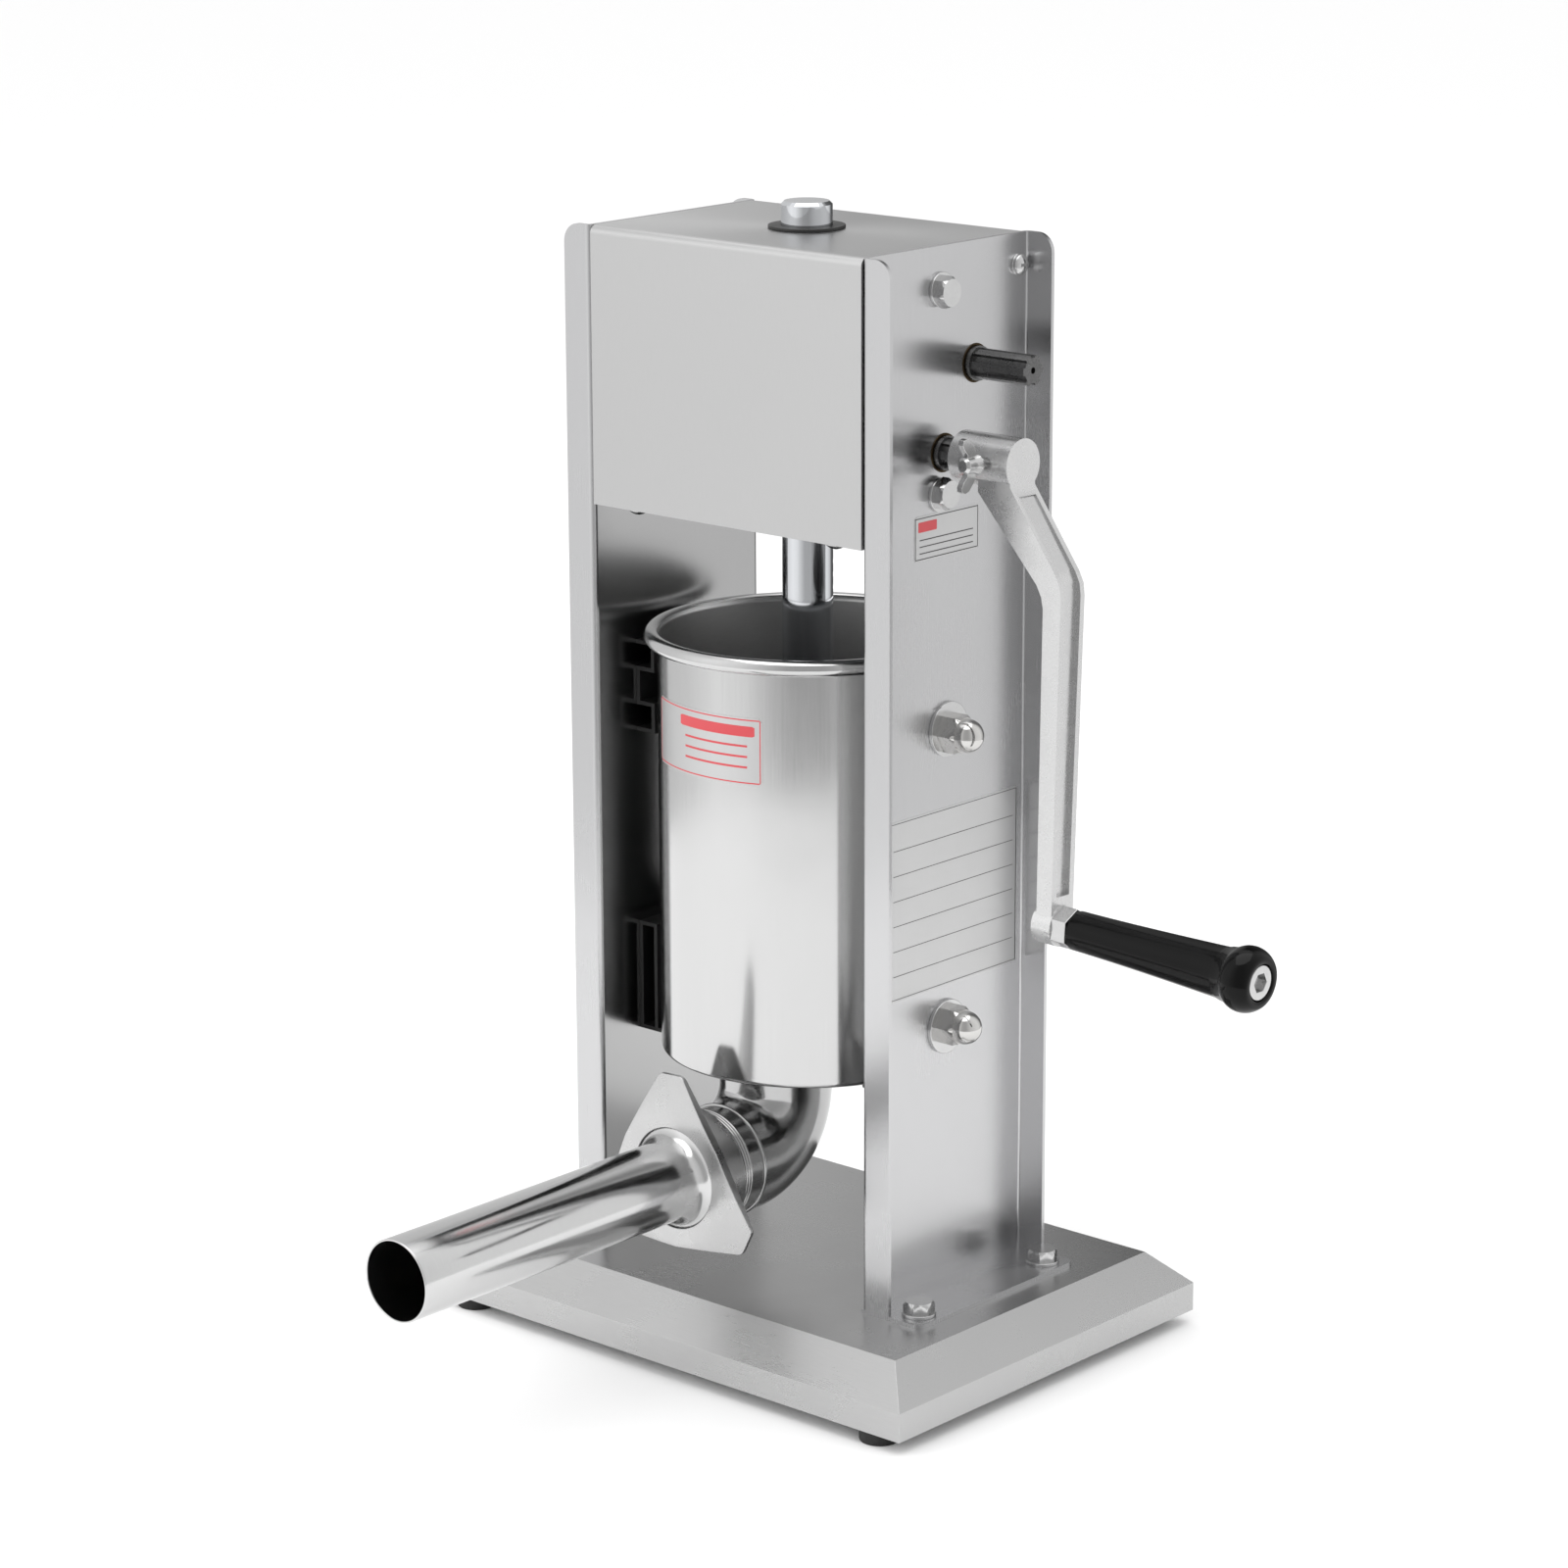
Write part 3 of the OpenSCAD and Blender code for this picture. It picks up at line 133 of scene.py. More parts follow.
def moulded(name, colour, rough, ior, grainMm, bump, tint=0.1, shine=0.5):
    material = bpy.data.materials.new(name)
    material.use_nodes = True
    tree = material.node_tree
    shader = tree.nodes["Principled BSDF"]
    shader.inputs["IOR"].default_value = ior
    shader.inputs["Specular IOR Level"].default_value = shine
    place = addNode(tree, "ShaderNodeTexCoord")
    grain = addNode(tree, "ShaderNodeTexNoise", {"Scale": 1 / (grainMm * mm), "Detail": 3.0},
                    {"Vector": place.outputs["Object"]})
    patches = addNode(tree, "ShaderNodeTexNoise", {"Scale": 35.0, "Detail": 3.0},
                      {"Vector": place.outputs["Object"]})
    base = Vector(toLinear(colour)[:3])
    shade = rampColours(addNode(tree, "ShaderNodeValToRGB", links={"Fac": patches.outputs[0]}), [
        (0.35, (*(base * (1 - tint)), 1)), (0.65, (*(base * (1 + tint)), 1))])
    tree.links.new(shade.outputs["Color"], shader.inputs["Base Color"])
    gloss = addNode(tree, "ShaderNodeMapRange", {"From Min": 0.3, "From Max": 0.7,
                                                 "To Min": rough * 0.8, "To Max": rough * 1.25},
                    {"Value": patches.outputs[0]})
    tree.links.new(gloss.outputs[0], shader.inputs["Roughness"])
    raised = addNode(tree, "ShaderNodeBump", {"Strength": bump, "Distance": 0.2 * mm},
                     {"Height": grain.outputs[0]})
    tree.links.new(raised.outputs[0], shader.inputs["Normal"])
    return material


# Grains are finer than can be seen at this size, so each is drawn about three times as coarse as it is
looks = {
    # satin finished stainless sheet, linished: soft even grey
    "satinSheet": metal("satinStainlessSheet", "#C4C4C4", 0.34, (3, 3, 0.12), 1.2, 0.012, 0.03, 70, 0.012,
                        stretch=0.5),
    # half bright stainless sheet, brushed up and down: reflections smear sideways
    "brushedSheet": metal("brushedStainlessSheet", "#C5C5C6", 0.26, (3, 3, 0.06), 1.2, 0.02, 0.03, 60, 0.02,
                          stretch=0.7),
    # the same sheet's inner face, still bright from the mill
    "millSheet": metal("millBrightStainless", "#B4B4B4", 0.20, (1, 1, 0.1), 1.5, 0.004, 0.02, 50, 0.01),
    # sheet of the cradles: stainless painted dark grey as painted shade, standing for the shade the cradles
    # sit in
    "dullSheet": metal("paintedShadeStainlessSheet", "#484848", 0.5, (3, 3, 0.2), 1.2, 0.02, 0.04, 30, 0.03),
    # inside of the pot: turned finish, satin
    "potInside": metal("turnedPotInside", "#C6C6C6", 0.36, (0.2, 0.2, 3), 1.2, 0.01, 0.03, 40, 0.03),
    # base pan sheet, brushed along its length
    "baseSheet": metal("brushedBaseSheet", "#BDBDBD", 0.28, (0.12, 2, 2), 1.2, 0.012, 0.04, 60, 0.02),
    # drawn stainless pot, polished: streaks run up the wall
    "drawnPot": metal("polishedDrawnStainless", "#C8C8C8", 0.13, (2, 2, 0.05), 2.0, 0.006, 0.03, 45, 0.015),
    # polished stainless tube
    "polishedTube": metal("polishedStainlessTube", "#B6B6B6", 0.16, (1, 1, 1), 1.0, 0.01, 0.05, 14, 0.03),
    # spun and polished stainless nozzle: faint rings round its length
    "spunTube": metal("spunStainlessNozzle", "#CFCFCF", 0.14, (0.3, 4, 0.3), 2.0, 0.01, 0.03, 24, 0.02),
    # investment cast stainless, belt ground: milky with soft edges
    "groundCasting": metal("groundCastStainless", "#C2C2C2", 0.30, (1, 1, 1), 0.8, 0.03, 0.06, 12, 0.03,
                           pitMm=3.0, pit=0.4),
    # plated grey iron casting: skin of fine bumps, bright where it was ground
    "platedCasting": metal("platedIronCasting", "#D2D2D2", 0.27, (1, 1, 1), 0.9, 0.10, 0.07, 10, 0.04,
                           pitMm=2.2, pit=0.9),
    # hard chrome rod: mirror
    "hardChrome": metal("hardChrome", "#D6D8DB", 0.05, (1, 1, 0.2), 1.0, 0.002, 0.02, 30, 0.01),
    # bright zinc on fasteners, a little cloudy
    "brightZinc": metal("brightZincPlate", "#C9C9C9", 0.20, (1, 1, 1), 0.7, 0.02, 0.07, 6, 0.04),
    # nickel on the cap nuts
    "brightNickel": metal("brightNickelPlate", "#CDCCCA", 0.11, (1, 1, 1), 0.7, 0.01, 0.04, 8, 0.02),
    # oiled splined steel, dark with bright rubbed spots
    "oiledSteel": metal("oiledToolSteel", "#6A6A6A", 0.30, (1, 1, 1), 0.8, 0.05, 0.10, 7, 0.25),
    "cutSteel": metal("oiledCutSteel", "#888888", 0.32, (1, 1, 1), 0.9, 0.05, 0.08, 10, 0.12),
    # oil soaked bronze bush
    "bronze": metal("sinteredBronze", "#3F3424", 0.35, (1, 1, 1), 0.5, 0.06, 0.06, 8, 0.10),
    "turnedAlloy": metal("turnedAluminium", "#D0D1D3", 0.28, (3, 3, 0.3), 1.0, 0.03, 0.05, 20, 0.03, 0.5),
    "springWire": metal("springWire", "#BDBDBD", 0.25, (1, 1, 1), 0.6, 0.02, 0.05, 6, 0.05),
    # grey primer on the welded plates
    "primer": moulded("greyPrimer", "#6E7072", 0.55, 1.5, 0.8, 0.15),
    # phenolic grip, compression moulded and buffed
    "phenolic": moulded("buffedPhenolic", "#060606", 0.12, 1.5, 1.5, 0.01, shine=0.17),
    "footRubber": moulded("blackRubber", "#141414", 0.62, 1.5, 0.7, 0.2),
    "sealRubber": moulded("foodRubber", "#2A2A2A", 0.5, 1.5, 0.7, 0.1),
    "blackNylon": moulded("blackNylon", "#131313", 0.42, 1.53, 0.8, 0.08),
    "whiteRing": moulded("whiteGasket", "#DEDEDA", 0.45, 1.4, 0.8, 0.05, tint=0.02),
    # printing ink, black and red
    "inkBlack": moulded("blackInk", "#3A3A3A", 0.35, 1.5, 1.0, 0.01, tint=0.03),
    "inkRed": moulded("redInk", "#C8434A", 0.35, 1.5, 1.0, 0.01, tint=0.03),
    # frosted silver foil of the labels
    "foil": metal("frostedFoil", "#C9C9C9", 0.40, (3, 3, 0.2), 1.0, 0.01, 0.03, 30, 0.01),
}
slotLooks = {
    "base_steel": "baseSheet", "column_steel": "brushedSheet", "cover_steel": "satinSheet",
    "barrel_steel": "drawnPot", "outlet_steel": "polishedTube", "nozzle_steel": "spunTube",
    "nut_steel": "groundCasting", "rod_chrome": "hardChrome", "crank_iron": "platedCasting",
    "grip_black": "phenolic", "bolt_zinc": "brightZinc", "acorn_nickel": "brightNickel",
    "shaft_dark": "oiledSteel", "gear_steel": "cutSteel", "bush_bronze": "bronze", "frame_steel": "primer",
    "piston_alloy": "turnedAlloy", "seal_rubber": "sealRubber", "gasket_white": "whiteRing",
    "feet_rubber": "footRubber", "guide_black": "blackNylon", "spring_steel": "springWire",
}
print("materials made:", len(looks))


# Mesh helpers

def finishPiece(name, bm, look, body, sharp=32, weighted=False):
    bmesh.ops.recalc_face_normals(bm, faces=bm.faces)
    mesh = bpy.data.meshes.new(name)
    bm.to_mesh(mesh)
    bm.free()
    piece = bpy.data.objects.new(name, mesh)
    bpy.context.scene.collection.objects.link(piece)
    for one in ([look] if isinstance(look, str) else look):
        mesh.materials.append(looks[one])
    mesh.polygons.foreach_set("use_smooth", [True] * len(mesh.polygons))
    mesh.set_sharp_from_angle(angle=math.radians(sharp))
    if weighted:
        even = piece.modifiers.new("evenShading", "WEIGHTED_NORMAL")
        even.keep_sharp = True
    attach(piece, body)
    return piece


# A copy of a CAD node with its sharp edges broken, shown in its place
def softened(node, width, look=None):
    source = nodes[node]
    bm = bmesh.new()
    bm.from_mesh(source.data)
    bmesh.ops.remove_doubles(bm, verts=bm.verts, dist=2e-6)
    bmesh.ops.dissolve_limit(bm, angle_limit=math.radians(0.6), verts=bm.verts, edges=bm.edges)
    if width:
        sharp = math.radians(40)
        edges = [e for e in bm.edges if len(e.link_faces) == 2 and e.calc_face_angle(0) > sharp]
        bmesh.ops.bevel(bm, geom=edges, offset=width * mm, offset_type="OFFSET", segments=2,
                        profile=0.6, affect="EDGES", clamp_overlap=True)
    piece = finishPiece(node + "_finished", bm, look or slotLooks[slotOf[node]], bodyOf[node],
                        50, True)
    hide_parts(node)
    return piece


def circlePoint(radius, k, steps, height):
    angle = 2 * math.pi * k / steps
    return Vector((radius * math.cos(angle), radius * math.sin(angle), height))


# Mesh of a profile of (radius, height) points turned about local Z
def turned(profile, place, steps, closed=True):
    bm = bmesh.new()
    rings = []
    for radius, height in profile:
        if radius < 1e-6:
            rings.append([bm.verts.new(place @ Vector((0, 0, height)))])
            continue
        rings.append([bm.verts.new(place @ circlePoint(radius, k, steps, height)) for k in range(steps)])
    pairs = list(zip(rings, rings[1:])) + ([(rings[-1], rings[0])] if closed else [])
    for a, b in pairs:
        for k in range(steps):
            n = (k + 1) % steps
            corners = [a[k % len(a)], a[n % len(a)], b[n % len(b)], b[k % len(b)]]
            corners = [v for i, v in enumerate(corners) if v not in corners[:i]]
            if len(corners) > 2:
                bm.faces.new(corners)
    return bm


# The same closed outline with its corners rounded
def rounded(points, radius, steps):
    if radius <= 0:
        return points
    out = []
    for i, corner in enumerate(points):
        p = Vector(corner)
        back, on = Vector(points[i - 1]) - p, Vector(points[(i + 1) % len(points)]) - p
        cut = min(radius, back.length * 0.49, on.length * 0.49)
        start, end = p + back.normalized() * cut, p + on.normalized() * cut
        for k in range(steps + 1):
            t = k / steps
            out.append(tuple(start * (1 - t) ** 2 + p * 2 * t * (1 - t) + end * t * t))
    return out


def scaled(matrix):
    return Matrix.Scale(mm, 4) @ matrix


def outward(side):
    return Matrix.Rotation(math.radians(90 * side), 4, "Y")


alongFront = Matrix.Rotation(math.radians(90), 4, "X")


def at(x, y, z, turn=Matrix.Identity(4)):
    return scaled(Matrix.Translation((x, y, z)) @ turn)


def joinMeshes(parts):
    whole = bmesh.new()
    for part in parts:
        mesh = bpy.data.meshes.new("part")
        part.to_mesh(mesh)
        part.free()
        whole.from_mesh(mesh)
        bpy.data.meshes.remove(mesh)
    return whole


def boxMm(node):
    low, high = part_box(node)
    return low / mm, high / mm


# Barrel

barrel = {"wall": 1.0, "rim": 3.8, "foot": 2.5, "floor": 1.2, "outlet": 25.5, "sides": 96}
low, high = boxMm("barrel")
rimOuter = high.x
rimMid = high.z - barrel["rim"]
bore = rimOuter - 2 * barrel["rim"]
outer = bore + barrel["wall"]
elbowLow, elbowHigh = boxMm("outlet_elbow")
outletY = elbowHigh.y - (elbowHigh.x - elbowLow.x) / 2


def arcPoints(cx, cy, r, start, end, steps):
    return [(cx + r * math.cos(math.radians(start + (end - start) * k / steps)),
             cy + r * math.sin(math.radians(start + (end - start) * k / steps))) for k in range(steps + 1)]


rimX = bore + barrel["rim"]
profile = [(bore - 2, low.z), (outer - barrel["foot"], low.z)]
profile += arcPoints(outer - barrel["foot"], low.z + barrel["foot"], barrel["foot"], -80, 0, 8)
# Rolled wire edge at the top
profile += arcPoints(rimX, rimMid, barrel["rim"] - barrel["wall"], 180, -100, 28)
profile += arcPoints(rimX, rimMid, barrel["rim"], -100, 180, 36)
floorZ = low.z + barrel["floor"]
profile += [(bore, low.z + 4)] + arcPoints(bore - 3, floorZ + 3, 3, 0, -90, 6) + [(bore - 5, floorZ)]
wall = turned(profile + [(bore - 5, low.z)], at(0, 0, 0), 192)
# Floor with the outlet hole set forward
floorPlate = bmesh.new()
rings = []
for height in (low.z, floorZ):
    for radius, y in ((bore - 5, 0), (barrel["outlet"], outletY)):
        points = [circlePoint(radius, k, barrel["sides"], height) for k in range(barrel["sides"])]
        rings.append([floorPlate.verts.new((point + Vector((0, y, 0))) * mm) for point in points])
for a, b in ((0, 1), (3, 2), (1, 3)):
    for k in range(barrel["sides"]):
        n = (k + 1) % barrel["sides"]
        floorPlate.faces.new([rings[a][k], rings[a][n], rings[b][n], rings[b][k]])
pot = finishPiece("barrel_pot", joinMeshes([wall, floorPlate]), ("drawnPot", "potInside"), "stand")
for face in pot.data.polygons:
    # Faces that look at the axis, and the floor's upper side
    reach = Vector((face.center.x, face.center.y, 0))
    looksIn = reach.length < (outer - 0.3) * mm and face.normal.dot(reach) < 0
    onFloor = face.normal.z > 0.9 and reach.length < bore * mm
    if looksIn or onFloor:
        face.material_index = 1
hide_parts("barrel", "barrel_floor")

# Elbow: one tube swept along its path

elbow = {"wall": 1.5, "bend": 30.0, "bendSteps": 40, "sides": 96}
tubeR = (elbowHigh.x - elbowLow.x) / 2
outletZ = elbowLow.z + tubeR
seamY = elbowLow.y
path = [(Vector((0, outletY, elbowHigh.z)), 0)]
for k in range(elbow["bendSteps"] + 1):
    a = math.radians(90 * k / elbow["bendSteps"])
    forward, height = elbow["bend"] * (1 - math.cos(a)), elbow["bend"] * (1 - math.sin(a))
    path.append((Vector((0, outletY - forward, outletZ + height)), a))
path.append((Vector((0, seamY, outletZ)), math.radians(90)))
tube = bmesh.new()
skins = []
for radius in (tubeR, tubeR - elbow["wall"]):
    skin = []
    for point, a in path:
        side = Vector((0, -math.cos(a), math.sin(a)))
        up = Vector((1, 0, 0))
        turns = [2 * math.pi * k / elbow["sides"] for k in range(elbow["sides"])]
        spokes = [up * math.cos(turn) + side * math.sin(turn) for turn in turns]
        skin.append([tube.verts.new((point + radius * spoke) * mm) for spoke in spokes])
    skins.append(skin)
    for ringA, ringB in zip(skin, skin[1:]):
        for k in range(elbow["sides"]):
            n = (k + 1) % elbow["sides"]
            tube.faces.new([ringA[k], ringA[n], ringB[n], ringB[k]])
for end in (0, -1):
    for k in range(elbow["sides"]):
        n = (k + 1) % elbow["sides"]
        tube.faces.new([skins[0][end][k], skins[0][end][n], skins[1][end][n], skins[1][end][k]])
bend = finishPiece("elbow_tube", tube, "polishedTube", "stand")
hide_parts("outlet_elbow")

# Threaded collar, with the weld bead at its back

collarLow, collarHigh = boxMm("thread_collar")
collar = {"body": tubeR - 0.7, "bore": tubeR - 1.5, "ridges": 3, "ridgeStep": 1.7, "turnStep": 2.6,
          "crest": 0.9}
collarFront, collarBack = -collarLow.y, -collarHigh.y
profile = [(collar["bore"], collarBack), (collar["body"] + 0.3, collarBack)]
profile += arcPoints(collar["body"] + 0.3, collarBack + 1.2, 1.0, -90, 90, 8)
ridgeAt = collarBack + 9.5
for k in range(collar["ridges"]):
    start = ridgeAt + collar["ridgeStep"] * k
    profile += [(collar["body"], start)] + arcPoints(collar["body"], start + 0.85, 0.75, -80, 80, 6)
threadAt = ridgeAt + 6.2
while threadAt < collarFront - 2:
    crest = collar["body"] + collar["crest"]
    profile += [(collar["body"] - 0.6, threadAt), (crest, threadAt + 1.0), (crest, threadAt + 1.5)]
    threadAt += collar["turnStep"]
profile += [(collar["body"] - 0.8, collarFront - 0.6), (collar["body"] - 1.2, collarFront)]
profile += [(collar["bore"], collarFront)]
outletPlace = at(0, 0, outletZ, alongFront)
ringed = finishPiece("collar_thread", turned(profile, outletPlace, 144), "polishedTube", "stand",
                     40)
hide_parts("thread_collar")

# Nozzle

nozzleLow, nozzleHigh = boxMm("nozzle")
nozzle = {"wall": 1.0, "flange": 3.0, "boss": 24.2, "tube": 19.3, "flareLong": 10.0, "bossEnd": 6.5}
tip, back = -nozzleLow.y, -nozzleHigh.y
flangeR = nozzleHigh.x
boss = back + nozzle["bossEnd"]
flare = nozzle["boss"] - nozzle["tube"]
inner = nozzle["tube"] - nozzle["wall"]
flangeFront = back + nozzle["flange"]
profile = [(inner, back), (flangeR - 0.3, back), (flangeR, back + 0.3)]
profile += [(flangeR, flangeFront - 0.3), (flangeR - 0.3, flangeFront)]
profile += [(nozzle["boss"], flangeFront + 0.2), (nozzle["boss"], boss - 0.5)]
profile += arcPoints(nozzle["boss"] - 0.5, boss - 0.5, 0.5, 0, 80, 4)
for k in range(1, 17):
    a = math.radians(90 * k / 16)
    reach = flare * (1 - math.sin(a))
    profile.append((nozzle["tube"] + reach, boss + nozzle["flareLong"] * (1 - math.cos(a))))
profile += [(nozzle["tube"], boss + nozzle["flareLong"] + 25), (nozzle["tube"], tip - 30)]
profile += arcPoints((nozzle["tube"] + inner) / 2, tip - 0.5, 0.5, 0, 180, 8)
profile += [(inner, tip - 3)]
spout = finishPiece("nozzle_tube", turned(profile, outletPlace, 144), "spunTube", "nozzle")
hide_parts("nozzle")
print("barrel, outlet and nozzle made")

# Grip, turned about the crank's lower end

joints = {joint["name"]: joint for joint in frame["record"]["behaviour"]["joints"]}
grip = {"from": 8.8, "long": 103.0, "start": 9.2, "waist": 11.8, "bead": 15.15, "crown": 10.5,
        "beadLong": 18.5, "recess": 8.5, "hole": 5.05, "recessDeep": 11.0}
along = Vector(joints["grip_spin"]["axis"]).normalized()
gripTurn = along.to_track_quat("Z", "Y").to_matrix().to_4x4()
gripPlace = scaled(Matrix.Translation(Vector(joints["grip_spin"]["pos_m"]) / mm) @ gripTurn)
x0, x1 = grip["from"], grip["from"] + grip["long"]
bead = x1 - grip["beadLong"]
profile = [(grip["hole"], x0), (grip["start"] - 1.2, x0)]
profile += arcPoints(grip["start"] - 1.0, x0 + 1.0, 1.0, -80, 0, 4)
for k in range(1, 13):
    f = k / 12
    swell = (grip["waist"] - grip["start"]) * f ** 1.4
    profile.append((grip["start"] + swell, x0 + 1 + f * (bead - 3 - x0)))
profile += [(grip["waist"] + 0.15, bead - 1.0), (grip["waist"] + 0.6, bead + 0.4)]
profile += arcPoints(grip["bead"] - grip["crown"], x1 - 8, grip["crown"], -38, 46, 20)
profile += [(11.3, x1 - 0.12), (grip["recess"] + 0.7, x1 - 0.05), (grip["recess"] + 0.2, x1 - 0.25)]
profile += [(grip["recess"], x1 - 0.8)]
profile += [(grip["recess"], x1 - grip["recessDeep"]), (grip["hole"], x1 - grip["recessDeep"])]
handle = finishPiece("grip_moulding", turned(profile, gripPlace, 96), "phenolic", "grip")
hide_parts("grip")

# Domed cap nuts

low, high = boxMm("cradle_studs")
studZ = [low.z + 8.5, high.z - 8.5]
acorn = {"across": 17.0, "hex": 9.0, "dome": 8.0, "start": 87.0, "hole": 5.1}


# Hexagon whose corners are turned down at the top, as a bolt head or a nut is
def hexHead(across, height, place, hole=0.0):
    flat = across / 2
    steps, rows = 72, []
    levels = [(0.0, 0.96), (0.25, 1.0), (height * 0.72, 1.0), (height * 0.86, 0.55), (height, 0.0)]
    bm = bmesh.new()
    for level, hexShare in levels:
        row = []
        for k in range(steps):
            a = 2 * math.pi * k / steps
            within = ((a + math.pi / 6) % (math.pi / 3)) - math.pi / 6
            reach = flat / math.cos(within)
            top = flat * 0.97 + (reach - flat * 0.97) * hexShare
            row.append(bm.verts.new(place @ Vector((top * math.cos(a), top * math.sin(a), level))))
        rows.append(row)
    if hole:
        for radius, level in ((hole, height), (hole, 0.0)):
            rows.append([bm.verts.new(place @ circlePoint(radius, k, steps, level)) for k in range(steps)])
    for a, b in list(zip(rows, rows[1:])) + ([(rows[-1], rows[0])] if hole else []):
        for k in range(steps):
            n = (k + 1) % steps
            bm.faces.new([a[k], a[n], b[n], b[k]])
    if not hole:
        bm.faces.new(rows[0][::-1])
        bm.faces.new(rows[-1])
    return bm


parts = []
for side in (1, -1):
    for z in studZ:
        place = at(side * acorn["start"], 0, z, outward(side))
        parts.append(hexHead(acorn["across"], acorn["hex"], place, acorn["hole"]))
        foot, spring = acorn["hex"] - 0.5, acorn["hex"] + 1
        dome = [(acorn["hole"], foot), (acorn["dome"], foot), (acorn["dome"], spring)]
        dome += arcPoints(0, spring, acorn["dome"], 0, 86, 14) + [(0, spring + acorn["dome"])]
        dome += [(0, acorn["hex"] + 3), (acorn["hole"], acorn["hex"] + 2)]
        parts.append(turned(dome, place, 72))
caps = finishPiece("cap_nuts", joinMeshes(parts), "brightNickel", "stand", 28)
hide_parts("acorn_nuts")

# Hex bolts of the columns and the gear frame

bolt = {"across": 13.0, "head": 5.3, "shank": 4.0, "sideLong": 20.0, "sideY": -6.0}
low, high = boxMm("column_bolts")
parts = []
for x in (low.x + bolt["across"] / math.sqrt(3), high.x - bolt["across"] / math.sqrt(3)):
    for y in (low.y + bolt["across"] / 2, high.y - bolt["across"] / 2):
        spin = Matrix.Rotation(0.4 + x * y, 4, "Z")
        parts.append(hexHead(bolt["across"], bolt["head"], at(x, y, high.z - bolt["head"], spin)))
        shank = [(0, low.z), (bolt["shank"] - 0.6, low.z), (bolt["shank"], low.z + 0.8)]
        shank += [(bolt["shank"], high.z - 5), (0, high.z - 5)]
        parts.append(turned(shank, at(x, y, 0), 32, False))
seatBolts = finishPiece("seat_bolts", joinMeshes(parts), "brightZinc", "stand", 28)
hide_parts("column_bolts")

low, high = boxMm("frame_bolts")
parts = []
for side in (1, -1):
    for z in (low.z + bolt["across"] / math.sqrt(3), high.z - bolt["across"] / math.sqrt(3)):
        turn = outward(side) @ Matrix.Rotation(0.35 + z, 4, "Z")
        place = at(side * (high.x - bolt["head"]), bolt["sideY"], z, turn)
        parts.append(hexHead(bolt["across"], bolt["head"], place))
        shank = [(0, -bolt["sideLong"]), (bolt["shank"], -bolt["sideLong"]), (bolt["shank"], 0.2), (0, 0.2)]
        parts.append(turned(shank, place, 32, False))
sideBolts = finishPiece("side_bolts", joinMeshes(parts), "brightZinc", "stand", 28)
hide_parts("frame_bolts")
print("turned and hexagonal pieces made")

# Everything else: CAD shapes with their edges broken

edgeWidths = {
    "base_pan": 1.2, "left_column": 0.35, "right_column": 0.35, "gearbox_cover": 0.35, "ring_nut": 0.7,
    "crank_arm": 1.0, "rubber_feet": 0.8, "wing_screw": 0.7, "column_washers": 0.3,
    "frame_washers": 0.3, "cradle_washers": 0.3, "web_screw_washers": 0.2, "cover_screws": 0.25,
    "web_screws": 0.25, "fast_shaft": 0.25, "slow_shaft": 0.25, "fast_shaft_bushes": 0.2,
    "slow_shaft_bushes": 0.2, "top_rod_guide": 0.4, "lower_rod_guide": 0.4, "rack_rod": 0.3,
    "upper_cradles": 0.15, "lower_cradles": 0.15, "gear_frame": 0.6, "bearing_plate": 0.4,
    "plate_pillars": 0.3, "pillar_screws": 0.2, "frame_nuts": 0.4, "column_nuts": 0.4,
    "foot_nuts": 0.3, "foot_studs": 0.3, "web_screw_nuts": 0.3, "large_gear": 0.2, "gear_key": 0.3,
    "retaining_rings": 0.15, "piston": 0.5, "piston_seal": 0.2, "piston_nut": 0.5, "air_valve": 0.3,
    "valve_spring": 0.0, "outlet_gasket": 0.2, "cradle_studs": 0.5, "grip_bolt": 0.4, "grip_nut": 0.5,
}
# The cradles take the dark sheet: painted shade, not their own colour
nodeLooks = {"upper_cradles": "dullSheet", "lower_cradles": "dullSheet"}
finished = {node: softened(node, width, nodeLooks.get(node)) for node, width in edgeWidths.items()}
print("edges broken on", len(finished), "nodes")


# Bright mill finish on the faces of the columns that look at each other
def paintFaces(piece, look, test):
    mesh = piece.data
    mesh.materials.append(looks[look])
    for face in mesh.polygons:
        if test(face.center / mm, face.normal):
            face.material_index = len(mesh.materials) - 1


paintFaces(finished["left_column"], "millSheet", lambda c, n: n.x > 0.9 and c.x > -84)
paintFaces(finished["right_column"], "millSheet", lambda c, n: n.x < -0.9 and c.x < 84)

# Labels: blank film with ruled lines. The web's outer face is one sheet out from the column's inner face.

webSheet = 2.0
webX = boxMm("right_column")[0].x + webSheet
film = {"lift": 0.02, "thick": 0.12, "curvedThick": 0.1}
ink = {"lift": 0.16, "curvedLift": 0.13, "thick": 0.04}


# A thin plate on the right web, with its corners rounded
def flatLabel(name, y0, y1, z0, z1, look, lift, thick, corner):
    bm = bmesh.new()
    outline = rounded([(y0, z0), (y1, z0), (y1, z1), (y0, z1)], corner, 5)
    skins = []
    for x in (webX + lift, webX + lift + thick):
        skins.append([bm.verts.new(Vector((x, y, z)) * mm) for y, z in outline])
    bm.faces.new(skins[1])
    bm.faces.new(skins[0][::-1])
    for k in range(len(outline)):
        n = (k + 1) % len(outline)
        bm.faces.new([skins[0][k], skins[0][n], skins[1][n], skins[1][k]])
    return finishPiece(name, bm, look, "stand")


def flatInk(name, y0, y1, z0, z1, look, corner=0.0):
    return flatLabel(name, y0, y1, z0, z1, look, ink["lift"], ink["thick"], corner)


